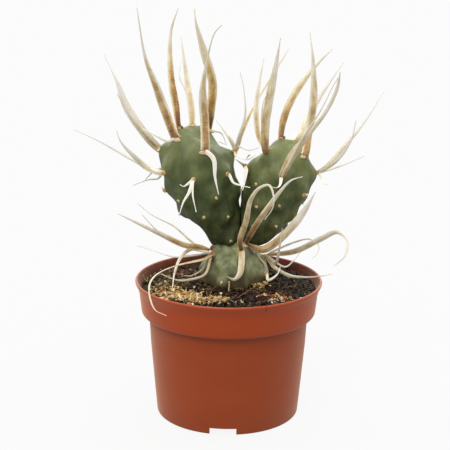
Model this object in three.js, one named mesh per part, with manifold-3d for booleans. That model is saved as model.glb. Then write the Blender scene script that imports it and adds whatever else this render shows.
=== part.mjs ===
// Potted paper spine cactus: a nursery pot, its soil, and three stem segments that bear long papery spines.
// Millimetres, +Z up. The origin is on the surface the pot stands on, at the pot's axis. The front faces -Y.

import * as THREE from "three";
import { mergeVertices } from "three/addons/utils/BufferGeometryUtils.js";
import Module from "manifold-3d";

const wasm = await Module();
wasm.setup();
const { Manifold, Mesh: ManifoldMesh } = wasm;

// Driving dimensions
const GAP = 0.3; // clearance between two pieces that touch
const POT_HEIGHT = 77.8;
const LIP_RADIUS = 52.6;
const FOOT_RADIUS = 40.3;
const FOOT_THICKNESS = 1.7;
const WALL = 1.2;
const FLOOR_UNDERSIDE = 3.8; // the floor is raised inside the foot ring
const FLOOR_TOP = 5;
const FOOT_NOTCHES = 3;
const NOTCH_WIDTH = 14.8;
const NOTCH_HEIGHT = 3.8;
const NOTCH_TURN = -93.5; // degrees round the pot, the front notch sits a little left of the middle
const DRAIN_HOLES = 8;
const DRAIN_RADIUS = 3.2;
const DRAIN_CIRCLE = 28; // radius of the circle that the drain holes lie on
const SOIL_LEVEL = 72.6;
const SOIL_HEAP = 2.6; // how much higher the soil is heaped at the stem
const HEAP_RADIUS = 27;
const STEM_CENTRE = [3, 9];
const MEETING_X = 6.3; // the plane where the two upper segments press against each other
const TUBERCLE_WIDTH = 5.2;
const TUBERCLES_AT_MOST = 1.15; // limit on the swelling where tubercles run together
const SPINE_THICKNESS = 0.7;
const SPINE_TIP_WIDTH = 0.7;
const SPINE_ROOT_DEPTH = 2.2; // how deep a spine's root is sunk under the skin
const SPINE_ROOT_RISE = 0.8; // a spine leaves its areole square to the skin for this far
const SPINE_NECK = 0.72; // a spine's width where it leaves the wool, as a share of its greatest width
const SPINE_TAPER = [0.3, 0.9]; // between these shares of its length a spine narrows to its tail
const SPINE_TAIL_WIDTH = 0.18; // the tail's width as a share of the greatest width
const WOOL_RADIUS = 1.5;

// Fineness of the faceted surfaces
const POT_SIDES = 54;
const HOLE_SIDES = 16;
const SOIL_SIDES = 40;
const SOIL_RINGS = 11;
const SEGMENT_DETAIL = { rings: 21, sides: 30 };
const BASE_DETAIL = { rings: 16, sides: 26 };
const SPINE_STEP = 9; // length of a spine's facets
const SPINE_FACETS = [3, 12]; // the fewest and the most facets along one spine
const TOWARDS_VIEWER = 0.75; // a spine whose chord runs along Y by more than this share faces up instead

const POT_COLOUR = 0xa04f2e;
const SOIL_COLOUR = 0x3a2e27;
const BASE_COLOUR = 0x7c8c69;
const SKIN_COLOUR = 0x566840;

const radians = THREE.MathUtils.degToRad;

// Solids

// A closed geometry as a manifold solid, with its shared vertices merged.
function solidOf(geometry) {
  const bare = new THREE.BufferGeometry().setAttribute("position", geometry.getAttribute("position"));
  bare.setIndex(geometry.index);
  const merged = mergeVertices(bare, 1e-4);
  return new Manifold(
    new ManifoldMesh({
      numProp: 3,
      vertProperties: new Float32Array(merged.attributes.position.array),
      triVerts: new Uint32Array(merged.index.array),
    }),
  );
}

// A manifold solid as a three.js geometry.
function geometryOf(solid) {
  const { vertProperties, triVerts } = solid.getMesh();
  const geometry = new THREE.BufferGeometry();
  geometry.setAttribute("position", new THREE.BufferAttribute(vertProperties, 3));
  geometry.setIndex(new THREE.BufferAttribute(triVerts, 1));
  geometry.computeVertexNormals();
  return geometry;
}

function meshOf(name, solid, color, roughness) {
  const material = new THREE.MeshStandardMaterial({ color, roughness, metalness: 0 });
  const mesh = new THREE.Mesh(geometryOf(solid), material);
  mesh.name = name;
  return mesh;
}

// A closed skin of rings between two poles. pointAt takes the share of the way between them and the turn.
function ringedSolid(ringCount, sides, pointAt) {
  const positions = [...pointAt(0, 0).toArray()];
  for (let ring = 1; ring < ringCount; ring += 1) {
    for (let side = 0; side < sides; side += 1) {
      positions.push(...pointAt(ring / ringCount, (side / sides) * 2 * Math.PI).toArray());
    }
  }
  positions.push(...pointAt(1, 0).toArray());
  const last = positions.length / 3 - 1;
  const vertex = (ring, side) => 1 + (ring - 1) * sides + (side % sides);
  const index = [];
  for (let side = 0; side < sides; side += 1) {
    index.push(0, vertex(1, side + 1), vertex(1, side));
    index.push(last, vertex(ringCount - 1, side), vertex(ringCount - 1, side + 1));
    for (let ring = 1; ring < ringCount - 1; ring += 1) {
      const [a, b] = [vertex(ring, side), vertex(ring, side + 1)];
      const [c, d] = [vertex(ring + 1, side), vertex(ring + 1, side + 1)];
      index.push(a, b, d, a, d, c);
    }
  }
  const geometry = new THREE.BufferGeometry();
  geometry.setAttribute("position", new THREE.Float32BufferAttribute(positions, 3));
  geometry.setIndex(index);
  return solidOf(geometry);
}

// A solid turned from a profile of [radius, height] points that starts and ends on the axis.
function turned(profile, sides) {
  const points = profile.map(([radius, height]) => new THREE.Vector2(radius, height));
  return solidOf(new THREE.LatheGeometry(points, sides).rotateX(Math.PI / 2));
}

function block(width, depth, height, x, y, z, turn = 0) {
  const geometry = new THREE.BoxGeometry(width, depth, height);
  return solidOf(geometry.translate(x, y, z).rotateZ(turn));
}

function upright(radius, bottom, top, x, y) {
  const geometry = new THREE.CylinderGeometry(radius, radius, top - bottom, HOLE_SIDES);
  return solidOf(geometry.rotateX(Math.PI / 2).translate(x, y, (bottom + top) / 2));
}

// Pot

// The outer wall from the foot to the lip, [radius, height].
const OUTER_WALL = [
  [FOOT_RADIUS - 0.5, 0],
  [FOOT_RADIUS, 0.7],
  [41.7, 16.4],
  [43.8, 40.8],
  [44.7, 57.6],
  [45.4, 58.3],
  [48.2, 58.6],
  [49.0, 59.6],
  [49.6, 64.8],
  [50.2, 70.4],
  [51.0, 73.4],
  [52.2, 75.6],
  [LIP_RADIUS, 76.8],
  [LIP_RADIUS - 0.6, POT_HEIGHT],
];

// The inner wall from the lip down to the floor, [radius, height].
const INNER_WALL = [
  [51.3, 77.3],
  [50.1, 74.6],
  [49.1, 71.0],
  [50.0 - WALL, 66.0],
  [49.2 - WALL, 60.6],
  [47.2, 59.7],
  [44.8, 59.4],
  [43.8, 58.4],
  [43.8 - WALL, 40.8],
  [41.7 - WALL, 16.4],
  [40.7 - WALL, 6.0],
  [38.2, FLOOR_TOP],
];

function makePot() {
  const footInside = FOOT_RADIUS - FOOT_THICKNESS;
  const underside = [
    [0, FLOOR_UNDERSIDE],
    [footInside - 0.6, FLOOR_UNDERSIDE],
    [footInside, 0],
  ];
  const profile = [...underside, ...OUTER_WALL, ...INNER_WALL, [0, FLOOR_TOP]];
  let pot = turned(profile, POT_SIDES);
  for (let i = 0; i < FOOT_NOTCHES; i += 1) {
    const turn = radians(NOTCH_TURN + (i * 360) / FOOT_NOTCHES);
    pot = pot.subtract(block(4 * FOOT_THICKNESS, NOTCH_WIDTH, 2 * NOTCH_HEIGHT, FOOT_RADIUS, 0, 0, turn));
  }
  for (let i = 0; i < DRAIN_HOLES; i += 1) {
    const turn = radians((i * 360) / DRAIN_HOLES);
    const [x, y] = [DRAIN_CIRCLE * Math.cos(turn), DRAIN_CIRCLE * Math.sin(turn)];
    pot = pot.subtract(upright(DRAIN_RADIUS, 0, 2 * FLOOR_TOP, x, y));
  }
  return pot;
}

// Soil

// Height of the soil's lumpy surface at a place.
function soilHeight(x, y) {
  const [stemX, stemY] = STEM_CENTRE;
  const fromStem = Math.hypot(x - stemX, y - stemY);
  const heap = SOIL_HEAP * Math.exp(-((fromStem / HEAP_RADIUS) ** 2));
  const frontLeft = 1.3 * Math.exp(-(((x + 24) / 13) ** 2) - ((y + 30) / 11) ** 2);
  const broadLumps = 0.5 * Math.sin(0.31 * x + 1.3) * Math.cos(0.27 * y - 0.4);
  const smallLumps = 0.3 * Math.sin(0.55 * x - 0.47 * y);
  return SOIL_LEVEL + heap + frontLeft + broadLumps + smallLumps;
}

function makeSoil() {
  const wall = INNER_WALL.slice(2).reverse();
  const wallRings = wall.length;
  const ringCount = wallRings + SOIL_RINGS;
  const rimRadius = wall[wallRings - 1][0] - GAP;
  return ringedSolid(ringCount, SOIL_SIDES, (share, turn) => {
    const ring = Math.round(share * ringCount);
    if (ring === 0) {
      return new THREE.Vector3(0, 0, FLOOR_TOP + GAP);
    }
    if (ring < wallRings) {
      const [wallRadius, height] = wall[ring - 1];
      const radius = wallRadius - GAP;
      return new THREE.Vector3(radius * Math.cos(turn), radius * Math.sin(turn), height + GAP);
    }
    const radius = rimRadius * (1 - (ring - wallRings) / SOIL_RINGS);
    const [x, y] = [radius * Math.cos(turn), radius * Math.sin(turn)];
    return new THREE.Vector3(x, y, soilHeight(x, y));
  });
}

// Stem segments

// An areole sits on its own tubercle. "up" is the share of the way along the skin from the segment's foot
// to its tip. "turn" is degrees round its axis: 0 to the right, 90 to the back, 180 to the left, 270 to
// the front.
const areole = (up, turn, ...spines) => ({ up, turn: radians(turn), spines });

// A hollow is where the skin has shrunk: its place as for an areole, how deep it is, and how far it reaches.
// Where the two upper segments bulge towards each other, the depth is negative.
const hollow = (up, turn, depth, reach) => ({ up, turn: radians(turn), depth, reach });

// A papery spine: its greatest width, and the points that it passes after its root, up to its tip.
const spine = (width, ...route) => ({ width, route });

const BASE = {
  foot: [3, 9, 60],
  tip: [3, 8, 98],
  rise: 2.2,
  profile: [[0, 0], [0.1, 8], [8, 12], [12, 16.6], [16, 18.1], [20, 18], [24, 16.6], [28, 13.8],
    [31.5, 11.2], [34.5, 9.2], [36.8, 6], [38, 0]],
  hollows: [],
  areoles: [
    areole(0.74, 217,
      spine(1.3, [-21, 6, 97], [-31, 9, 105], [-44, 12, 111], [-52, 14, 117]),
      spine(1.4, [-24, 2, 95], [-39, -6, 106], [-48, -11, 117]),
      spine(3.6, [-14, -3, 90], [-25, -6, 88], [-34, -10, 86], [-41, -19, 84], [-43, -29, 81.5],
        [-42, -37, 77], [-39, -41, 72], [-33, -44, 70]),
      spine(2.2, [-15, 2, 94], [-22, 4, 93], [-27, 2, 89], [-30, -4, 83], [-31, -16, 77]),
      spine(1.1, [-19, 10, 88], [-30, 16, 85], [-42, 30, 84], [-54, 36, 86]),
      spine(1.2, [-13, -6, 82], [-19, -4, 78.5], [-28, -6, 78], [-38, -1, 80]),
      spine(1.1, [-15, 2, 82], [-21, 0, 79], [-25, 1, 78.5])),
    areole(0.8, 285,
      spine(3.4, [6, -8, 102], [9, -13, 114], [11.5, -18, 128], [16, -21, 135], [21, -23, 137],
        [23.5, -24, 131], [23, -22, 124], [19, -19, 117]),
      spine(3.4, [7, -9, 90], [6, -12, 84], [3, -13, 81], [-1, -14, 83])),
    areole(0.65, 5,
      spine(3.2, [37, 9, 91], [51, 3, 100], [60, -3, 106], [65, -8, 103], [64, -11, 95], [58, -12, 89]),
      spine(1.2, [37, 14, 95], [46, 14, 97], [51, 12, 94], [50, 9, 90], [47, 6, 88]),
      spine(1.1, [32, 9, 82], [37, 12, 85], [41, 18, 88]),
      spine(2.2, [26, 4, 83], [34, 4, 78.5], [45, -1, 79], [52, -3, 80.5], [58, -4, 82]),
      spine(1.8, [26, 2, 86], [28, -6, 98], [29, -11, 110])),
    areole(0.55, 330,
      spine(1.6, [20, -6, 88], [17, -8, 92], [16, -9, 94]),
      spine(1.4, [22, -7, 79], [27, -3, 81], [29, 2, 84])),
    areole(0.8, 205,
      spine(3.2, [-10, 0, 93.5], [-16, 0, 95.5], [-25, -1, 97], [-38, -4, 104], [-61, -10, 117])),
    areole(0.86, 310,
      spine(3.2, [14, -9, 110], [20, -14, 121], [27, -17, 132], [33, -19, 139], [39, -19, 141]),
      spine(4.4, [18, -2, 95], [24, -3, 98], [33, -4, 107], [41, -5, 118], [47, -7, 130])),
    areole(0.68, 60, spine(2.6, [14, 31, 92], [20, 40, 98], [25, 46, 108])),
    areole(0.7, 115, spine(3, [-2, 30, 92], [-5, 39, 98], [-7, 47, 99])),
    areole(0.5, 90),
    areole(0.52, 250),
    areole(0.52, 160),
  ],
};

const LEFT = {
  foot: [-2, 11, 92.6],
  tip: [-25.6, 9, 162.4],
  rise: 1.9,
  profile: [[0, 0], [0.6, 3.3], [4, 7.1], [10, 10.6], [20, 14.2], [30, 17.1], [40, 18.7], [48, 19.4],
    [56, 19], [61.3, 17.2], [65.8, 13.4], [69.8, 8.1], [72.5, 3.6], [73.7, 0]],
  hollows: [hollow(0.8, 8, 6.5, 10), hollow(0.93, 345, 2.4, 9), hollow(0.7, 335, 2.6, 7),
    hollow(0.22, 180, 3.8, 9), hollow(0.15, 355, -5, 9)],
  areoles: [
    areole(0.879, 243,
      spine(4.8, [-36, 1, 173], [-40, -1, 185], [-46, -4, 202], [-50, -9, 229]),
      spine(1.4, [-34, -1, 156], [-41, 0, 159], [-48, 3, 162])),
    areole(0.97, 240,
      spine(3.8, [-30, 11, 172], [-33, 13, 190], [-33, 13, 214], [-29, 10, 227])),
    areole(0.896, 63,
      spine(3.8, [-22, 21, 171], [-25, 25, 189], [-28, 26, 210]),
      spine(1.1, [-25, 24, 179], [-29, 28, 188], [-27, 30, 198])),
    areole(0.742, 294,
      spine(4.8, [-14, -9, 169], [-15, -12, 185], [-13, -15, 201], [-9, -19, 217], [-5, -22, 222]),
      spine(2.5, [-9, -13, 149], [-8, -15, 139], [-6, -16, 130])),
    areole(0.784, 44,
      spine(4.8, [-11, 14, 171], [-10, 10, 186], [-15, 5, 205], [-19, 1, 220], [-20, 0, 228])),
    areole(0.797, 177,
      spine(4.8, [-49, 6, 161], [-57, 4, 174], [-62, 3, 188], [-69, 6, 202]),
      spine(2.4, [-46, 4, 157], [-54, -3, 169], [-61, -8, 183])),
    areole(0.683, 215,
      spine(3.4, [-46, 4, 140], [-53, 1, 147], [-60, -2, 156], [-62, -3, 162]),
      spine(1.9, [-49, 7, 141], [-61, 9, 147], [-71, 8, 153], [-86, 4, 161]),
      spine(1.2, [-40, 3, 134], [-45, 0, 134], [-53, -5, 132])),
    areole(0.611, 262,
      spine(1.8, [-23, -14, 135], [-25, -15, 134], [-27, -15, 135]),
      spine(1.8, [-22, -16, 131], [-25, -18, 126], [-27, -20, 120]),
      spine(1.1, [-20, -17, 130], [-18, -20, 121])),
    areole(0.645, 9,
      spine(2.2, [0, 11, 155], [-3, 12, 159], [-8, 14, 165]),
      spine(3.2, [6, 11, 158], [14, 16, 175], [22, 20, 188], [32, 24, 204]),
      spine(1.6, [5, 6, 158], [8, 3, 170], [7, 1, 185], [5, 0, 194]),
      spine(2, [4, 3, 147], [9, -1, 146], [14, -6, 150]),
      spine(1.2, [5, 6, 152], [10, 1, 151], [16, -6, 154])),
    areole(0.566, 316,
      spine(1.4, [2, -9, 135], [6, -11, 134], [11, -12, 133])),
    areole(0.562, 189, spine(1.2, [-38, 5, 129])),
    areole(0.458, 286),
    areole(0.42, 345),
    areole(0.5, 226),
    areole(0.367, 258),
    areole(0.311, 299),
    areole(0.369, 170),
    areole(0.143, 289),
    areole(0.83, 55,
      spine(1.2, [-10, 25, 157], [-5, 28, 155], [-2, 29, 148])),
    areole(0.78, 112,
      spine(3.4, [-31, 31, 149], [-33, 38, 152], [-34, 46, 149], [-34, 51, 141]),
      spine(1.4, [-28, 33, 146], [-30, 39, 139])),
    areole(0.68, 66,
      spine(3.2, [-12, 32, 146], [-8, 40, 148], [-3, 47, 145])),
    areole(0.6, 140,
      spine(2.2, [-36, 27, 134], [-44, 34, 131], [-50, 38, 124])),
    areole(0.52, 95, spine(1.6, [-17, 32, 130], [-18, 37, 126], [-20, 39, 120])),
    areole(0.5, 40),
    areole(0.38, 130),
    areole(0.35, 65),
    areole(0.22, 110),
  ],
};

const RIGHT = {
  foot: [15.2, 11, 92.6],
  tip: [35.2, 9, 153.7],
  rise: 1.9,
  profile: [[0, 0], [0.6, 3.9], [4.1, 8.7], [10.1, 11.7], [18.2, 13.8], [27.4, 15.8], [36.5, 17.2],
    [42.6, 17.5], [48.6, 16.7], [53.7, 14.2], [58.3, 11.6], [61.8, 8.2], [63.6, 4.9], [64.3, 0]],
  hollows: [hollow(0.12, 0, 3.8, 10), hollow(0.27, 0, 3.7, 9), hollow(0.43, 0, 5, 8),
    hollow(0.93, 120, 1.5, 8), hollow(0.2, 185, -4.5, 9), hollow(0.46, 182, -2.4, 9)],
  areoles: [
    areole(0.784, 212,
      spine(4.4, [19, -1, 163], [21, -3, 181], [24, -6, 199], [26, -9, 214]),
      spine(3, [16, 5, 157], [14, 7, 172], [16, 8, 190], [18, 8, 201]),
      spine(1.2, [17, 1, 168], [18, -2, 179], [20, -3, 184])),
    areole(0.916, 159,
      spine(4, [30, 13, 168], [37, 15, 183], [47, 17, 196], [56, 18, 205])),
    areole(0.957, 55,
      spine(3.8, [42, 19, 163], [50, 24, 177], [63, 28, 196])),
    areole(0.856, 302,
      spine(4.2, [43, 3, 161], [45, 1, 179], [44, -1, 201], [42, -1, 216])),
    areole(0.68, 264,
      spine(4.6, [33, -15, 151], [41, -21, 164], [50, -27, 178], [55, -31, 191], [56, -34, 200]),
      spine(1.8, [37, -20, 160], [47, -26, 178], [52, -30, 190], [55, -34, 197]),
      spine(1.8, [27, -14, 135], [25, -16, 134], [22, -17, 135])),
    areole(0.733, 360,
      spine(2.6, [54, 8, 141], [65, 9, 154], [76, 12, 168], [85, 16, 182]),
      spine(1.8, [59, 4, 145], [66, 0, 157], [68, -4, 169]),
      spine(1.1, [53, 13, 137], [65, 18, 140], [76, 22, 144]),
      spine(1.6, [51, 6, 134], [52, 3, 132], [54, 1, 132])),
    areole(0.623, 178,
      spine(2, [7, 6, 142], [3, 1, 146]),
      spine(2.4, [9, 2, 139], [8, -3, 133], [7, -6, 130])),
    areole(0.575, 227),
    areole(0.609, 313, spine(1.1, [43, -5, 128], [43, -7, 126])),
    areole(0.434, 240),
    areole(0.499, 277),
    areole(0.35, 285),
    areole(0.291, 244),
    areole(0.431, 328),
    areole(0.5, 0),
    areole(0.3, 350),
    areole(0.8, 95,
      spine(3.4, [34, 30, 150], [38, 38, 153], [43, 45, 151], [47, 50, 144])),
    areole(0.68, 130,
      spine(2.6, [16, 30, 140], [12, 38, 141], [9, 45, 136]),
      spine(1.4, [19, 31, 136], [18, 37, 130])),
    areole(0.66, 50,
      spine(2.8, [43, 28, 135], [46, 34, 137], [47, 39, 133], [47, 42, 126])),
    areole(0.5, 90, spine(1.6, [29, 31, 125], [31, 37, 121], [32, 40, 115])),
    areole(0.45, 40),
    areole(0.42, 140),
    areole(0.28, 70),
    areole(0.2, 120),
  ],
};

// The smooth curve through a segment's [distance along its axis, radius] points.
function profileOf({ profile }) {
  return new THREE.SplineCurve(profile.map(([along, radius]) => new THREE.Vector2(along, radius)));
}

// A function of "up" and "turn" that gives a point of the segment's skin and the direction out of it.
function skinOf(segment) {
  const foot = new THREE.Vector3(...segment.foot);
  const tip = new THREE.Vector3(...segment.tip);
  const axis = tip.clone().sub(foot).normalize();
  const right = new THREE.Vector3(axis.z, 0, -axis.x).normalize();
  const back = axis.clone().cross(right);
  const profile = profileOf(segment);

  const smooth = (up, turn) => {
    const { x: along, y: radius } = profile.getPointAt(up);
    const { x: alongStep, y: radiusStep } = profile.getTangentAt(up);
    const outward = right.clone().multiplyScalar(Math.cos(turn)).addScaledVector(back, Math.sin(turn));
    const point = foot.clone().addScaledVector(axis, along).addScaledVector(outward, Math.max(radius, 0));
    const normal = outward.multiplyScalar(alongStep).addScaledVector(axis, -radiusStep).normalize();
    return { point, normal };
  };

  const tubercles = segment.areoles.map(({ up, turn }) => smooth(up, turn).point);
  const hollows = segment.hollows.map((one) => ({ ...one, centre: smooth(one.up, one.turn).point }));
  return (up, turn, offset = 0) => {
    const { point, normal } = smooth(up, turn);
    const swell = (sum, tubercle) => sum + Math.exp(-((point.distanceTo(tubercle) / TUBERCLE_WIDTH) ** 2));
    const sink = (sum, { centre, depth, reach }) => {
      return sum + depth * Math.exp(-((point.distanceTo(centre) / reach) ** 2));
    };
    const rise = segment.rise * Math.min(tubercles.reduce(swell, 0), TUBERCLES_AT_MOST);
    const shrunk = hollows.reduce(sink, 0);
    return { point: point.addScaledVector(normal, rise - shrunk + offset), normal };
  };
}

// The segment's bare body. "press" keeps it on its own side of the meeting plane, and "offset" swells it.
function bodyOf(segment, { rings, sides, offset = 0, press = 0 }) {
  const skin = skinOf(segment);
  const plane = MEETING_X + (press * GAP) / 2;
  return ringedSolid(rings, sides, (share, turn) => {
    const { point } = skin(share, turn, offset);
    if (press > 0) {
      point.x = Math.max(point.x, plane);
    }
    if (press < 0) {
      point.x = Math.min(point.x, plane);
    }
    return point;
  });
}

// How wide a spine is at a share of its length: it leaves the wool narrower, then tapers to a thin tail.
function spineWidth(width, share) {
  const leaving = Math.min(1, SPINE_NECK + 2.2 * share);
  const tapering = 1 - (1 - SPINE_TAIL_WIDTH) * THREE.MathUtils.smoothstep(share, ...SPINE_TAPER);
  return Math.max(SPINE_TIP_WIDTH, width * leaving * tapering);
}

// One flat, tapering spine from its root under the skin, along its route. Both faces are split alike.
function spineSolid(root, normal, { width, route }) {
  const start = root.clone().addScaledVector(normal, -SPINE_ROOT_DEPTH);
  const leaving = root.clone().addScaledVector(normal, SPINE_ROOT_RISE);
  const passes = [start, leaving, ...route.map((place) => new THREE.Vector3(...place))];
  const curve = new THREE.CatmullRomCurve3(passes, false, "centripetal");
  const steps = THREE.MathUtils.clamp(Math.round(curve.getLength() / SPINE_STEP), ...SPINE_FACETS);
  const chord = passes[passes.length - 1].clone().sub(start).normalize();
  const facesUp = Math.abs(chord.y) > TOWARDS_VIEWER;
  const facing = facesUp ? new THREE.Vector3(0, 0, 1) : new THREE.Vector3(0, -1, 0);
  const positions = [];
  for (let i = 0; i <= steps; i += 1) {
    const share = i / steps;
    const centre = curve.getPointAt(share);
    const across = curve.getTangentAt(share).cross(facing).normalize();
    const through = across.clone().cross(curve.getTangentAt(share)).normalize();
    across.multiplyScalar(spineWidth(width, share) / 2);
    through.multiplyScalar(SPINE_THICKNESS / 2);
    for (const [a, t] of [[1, 1], [-1, 1], [-1, -1], [1, -1]]) {
      positions.push(...centre.clone().addScaledVector(across, a).addScaledVector(through, t).toArray());
    }
  }
  const index = [0, 1, 2, 0, 2, 3];
  for (let i = 0; i < steps; i += 1) {
    const [a, b] = [4 * i, 4 * i + 4];
    index.push(a, b, b + 1, a, b + 1, a + 1);
    index.push(a + 1, b + 1, b + 2, a + 1, b + 2, a + 2);
    index.push(a + 2, b + 2, a + 3, a + 3, b + 2, b + 3);
    index.push(a + 3, b + 3, b, a + 3, b, a);
  }
  const end = 4 * steps;
  index.push(end, end + 2, end + 1, end, end + 3, end + 2);
  const geometry = new THREE.BufferGeometry();
  geometry.setAttribute("position", new THREE.Float32BufferAttribute(positions, 3));
  geometry.setIndex(index);
  return solidOf(geometry);
}

// The tuft of wool in an areole.
function woolSolid(root) {
  const tuft = new THREE.OctahedronGeometry(WOOL_RADIUS, 0).translate(root.x, root.y, root.z);
  const bare = new THREE.BufferGeometry().setAttribute("position", tuft.attributes.position);
  return solidOf(mergeVertices(bare));
}

// A body with the wool and the spines of all its areoles fused to it.
function dressed(body, segment) {
  const skin = skinOf(segment);
  let solid = body;
  for (const { up, turn, spines } of segment.areoles) {
    const { point, normal } = skin(up, turn);
    solid = solid.add(woolSolid(point));
    for (const one of spines) {
      solid = solid.add(spineSolid(point, normal, one));
    }
  }
  return solid;
}

const leftSolid = dressed(bodyOf(LEFT, { ...SEGMENT_DETAIL, press: -1 }), LEFT);
const rightSolid = dressed(bodyOf(RIGHT, { ...SEGMENT_DETAIL, press: 1 }), RIGHT);
const baseSolid = dressed(
  bodyOf(BASE, BASE_DETAIL)
    .subtract(bodyOf(LEFT, { ...SEGMENT_DETAIL, offset: GAP }))
    .subtract(bodyOf(RIGHT, { ...SEGMENT_DETAIL, offset: GAP })),
  BASE,
);
const soilSolid = makeSoil().subtract(bodyOf(BASE, { ...BASE_DETAIL, offset: GAP }));

const cactus = new THREE.Group();
cactus.add(
  meshOf("pot", makePot(), POT_COLOUR, 0.45),
  meshOf("soil", soilSolid, SOIL_COLOUR, 0.95),
  meshOf("base_segment", baseSolid, BASE_COLOUR, 0.6),
  meshOf("left_segment", leftSolid, SKIN_COLOUR, 0.5),
  meshOf("right_segment", rightSolid, SKIN_COLOUR, 0.5),
);

export default cactus;
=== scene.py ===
# %% [markdown]
# # A potted paper spine cactus
# The plant is three stem segments in a terracotta-coloured nursery pot. The oldest segment is a squat cone
# in the soil, and two egg-shaped ones lean apart on top of it. Long, flat, papery spines grow from small
# woolly cushions, the areoles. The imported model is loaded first, as a frame: it holds the true sizes, and
# everything made here lies where its pieces lie. Lengths below are in millimetres, and MM turns them into
# Blender's metres.

import math

import bmesh
import bpy
import numpy as np
from mathutils import Matrix, Vector, noise
from mathutils.bvhtree import BVHTree


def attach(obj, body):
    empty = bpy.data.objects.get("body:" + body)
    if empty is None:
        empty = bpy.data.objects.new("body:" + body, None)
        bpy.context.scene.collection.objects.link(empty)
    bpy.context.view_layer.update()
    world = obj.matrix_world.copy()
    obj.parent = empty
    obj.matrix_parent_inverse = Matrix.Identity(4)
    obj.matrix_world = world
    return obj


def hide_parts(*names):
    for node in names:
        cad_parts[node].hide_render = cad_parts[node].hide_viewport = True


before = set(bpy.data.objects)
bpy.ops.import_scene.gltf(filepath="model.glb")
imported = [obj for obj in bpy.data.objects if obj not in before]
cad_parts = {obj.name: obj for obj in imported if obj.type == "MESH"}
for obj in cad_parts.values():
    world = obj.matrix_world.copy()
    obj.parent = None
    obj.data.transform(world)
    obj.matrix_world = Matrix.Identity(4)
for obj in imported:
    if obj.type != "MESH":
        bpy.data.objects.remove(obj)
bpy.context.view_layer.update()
MM = 0.001
print("nodes:", ", ".join(sorted(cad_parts)))

# %% [markdown]
# ## The camera
# The photograph looks slightly down on the plant with a long lens, so that the pot's lip is a narrow oval
# and its sides hardly taper from perspective. A camera in Blender looks along its own -Z, so it is first
# raised to look along +Y, then pitched down, and last rolled by a hair.

# %% Camera
CAMERA_PLACE = Vector((-2.4, -706.7, 297.6)) * MM
CAMERA_PITCH = 14.97
CAMERA_ROLL = 0.6
CAMERA_LENS = 105.1  # on a sensor 36 wide

bpy.ops.object.camera_add(location=CAMERA_PLACE)
camera = bpy.context.object
pitched = Matrix.Rotation(math.radians(90 - CAMERA_PITCH), 4, "X")
rolled = Matrix.Rotation(math.radians(CAMERA_ROLL), 4, "Z")
camera.matrix_world = Matrix.Translation(CAMERA_PLACE) @ pitched @ rolled
camera.data.sensor_width = 36
camera.data.lens = CAMERA_LENS
camera.data.clip_end = 50
bpy.context.scene.camera = camera
print("camera is", round(CAMERA_PLACE.length, 2), "m from the foot of the pot")

# %% [markdown]
# ## Small tools for modelling
# A Blender operator acts on whatever is selected, so each piece starts with nothing selected. A finished
# piece has its place in its mesh and its object at the origin. Vertices are picked in code by where they
# are, as a modeller would click on them.


# %% Selecting, settling and moving vertices
def deselect():
    if bpy.context.object and bpy.context.object.mode == "EDIT":
        bpy.ops.object.mode_set(mode="OBJECT")
    bpy.ops.object.select_all(action="DESELECT")


def activate(piece):
    deselect()
    piece.select_set(True)
    bpy.context.view_layer.objects.active = piece


def settle(name):
    """Names the active object, and moves its place from the object into the mesh."""
    bpy.ops.object.mode_set(mode="OBJECT")
    piece = bpy.context.object
    piece.name = piece.data.name = name
    piece.data.transform(piece.matrix_world)
    piece.matrix_world = Matrix.Identity(4)
    return piece


def join_as(name, pieces):
    """Joins pieces into the first one and names it."""
    deselect()
    for piece in pieces:
        piece.select_set(True)
    bpy.context.view_layer.objects.active = pieces[0]
    bpy.ops.object.join()
    return settle(name)


def face_outwards():
    """Turns every face of the piece in edit mode outwards."""
    bpy.ops.mesh.select_all(action="SELECT")
    bpy.ops.mesh.normals_make_consistent(inside=False)


def points_of(piece):
    """The vertices of a piece in millimetres, one row each."""
    flat = np.empty(3 * len(piece.data.vertices))
    piece.data.vertices.foreach_get("co", flat)
    return flat.reshape(-1, 3) / MM


def move_points(piece, points):
    piece.data.vertices.foreach_set("co", (np.asarray(points) * MM).ravel())
    piece.data.update()


def mark(piece, name, values):
    """Keeps a value for each vertex under a name, which a material can read."""
    values = np.asarray(values, float)
    kind, field = ("FLOAT_VECTOR", "vector") if values.ndim == 2 else ("FLOAT", "value")
    layer = piece.data.attributes.new(name, kind, "POINT")
    layer.data.foreach_set(field, values.ravel())


def edit(piece, wanted):
    """Opens a piece in edit mode with exactly the wanted vertices selected."""
    activate(piece)
    bpy.ops.object.mode_set(mode="EDIT")
    bpy.ops.mesh.select_mode(type="VERT")
    mesh = bmesh.from_edit_mesh(piece.data)
    for vertex, chosen in zip(mesh.verts, wanted):
        vertex.select = bool(chosen)
    mesh.select_flush_mode()
    bmesh.update_edit_mesh(piece.data)


def apply_modifier(piece, kind, **settings):
    """Adds one modifier, sets it and applies it."""
    activate(piece)
    modifier = piece.modifiers.new(kind.title(), kind)
    for name, value in settings.items():
        setattr(modifier, name, value)
    bpy.ops.object.modifier_apply(modifier=modifier.name)


def lumps(piece, size, height, group=""):
    """Displaces a piece by soft cloud noise with lumps of this size and height."""
    texture = bpy.data.textures.new("lumps", "CLOUDS")
    texture.noise_scale = size * MM
    texture.noise_depth = 2
    apply_modifier(piece, "DISPLACE", texture=texture, strength=height * MM, vertex_group=group)


def tell(piece):
    size = [round(side / MM, 1) for side in piece.dimensions]
    print(piece.name, "has", len(piece.data.polygons), "faces and measures", size, "mm")


# %% [markdown]
# A pot, an egg and a squat stem are all round, so one helper makes them the way a potter does: it starts
# with a small disc and pulls its edge from one station of the profile to the next. Extruding the ring of
# edges and resizing it about the axis is all that it needs. The last ring is drawn together in one point
# or filled with a face.


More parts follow.
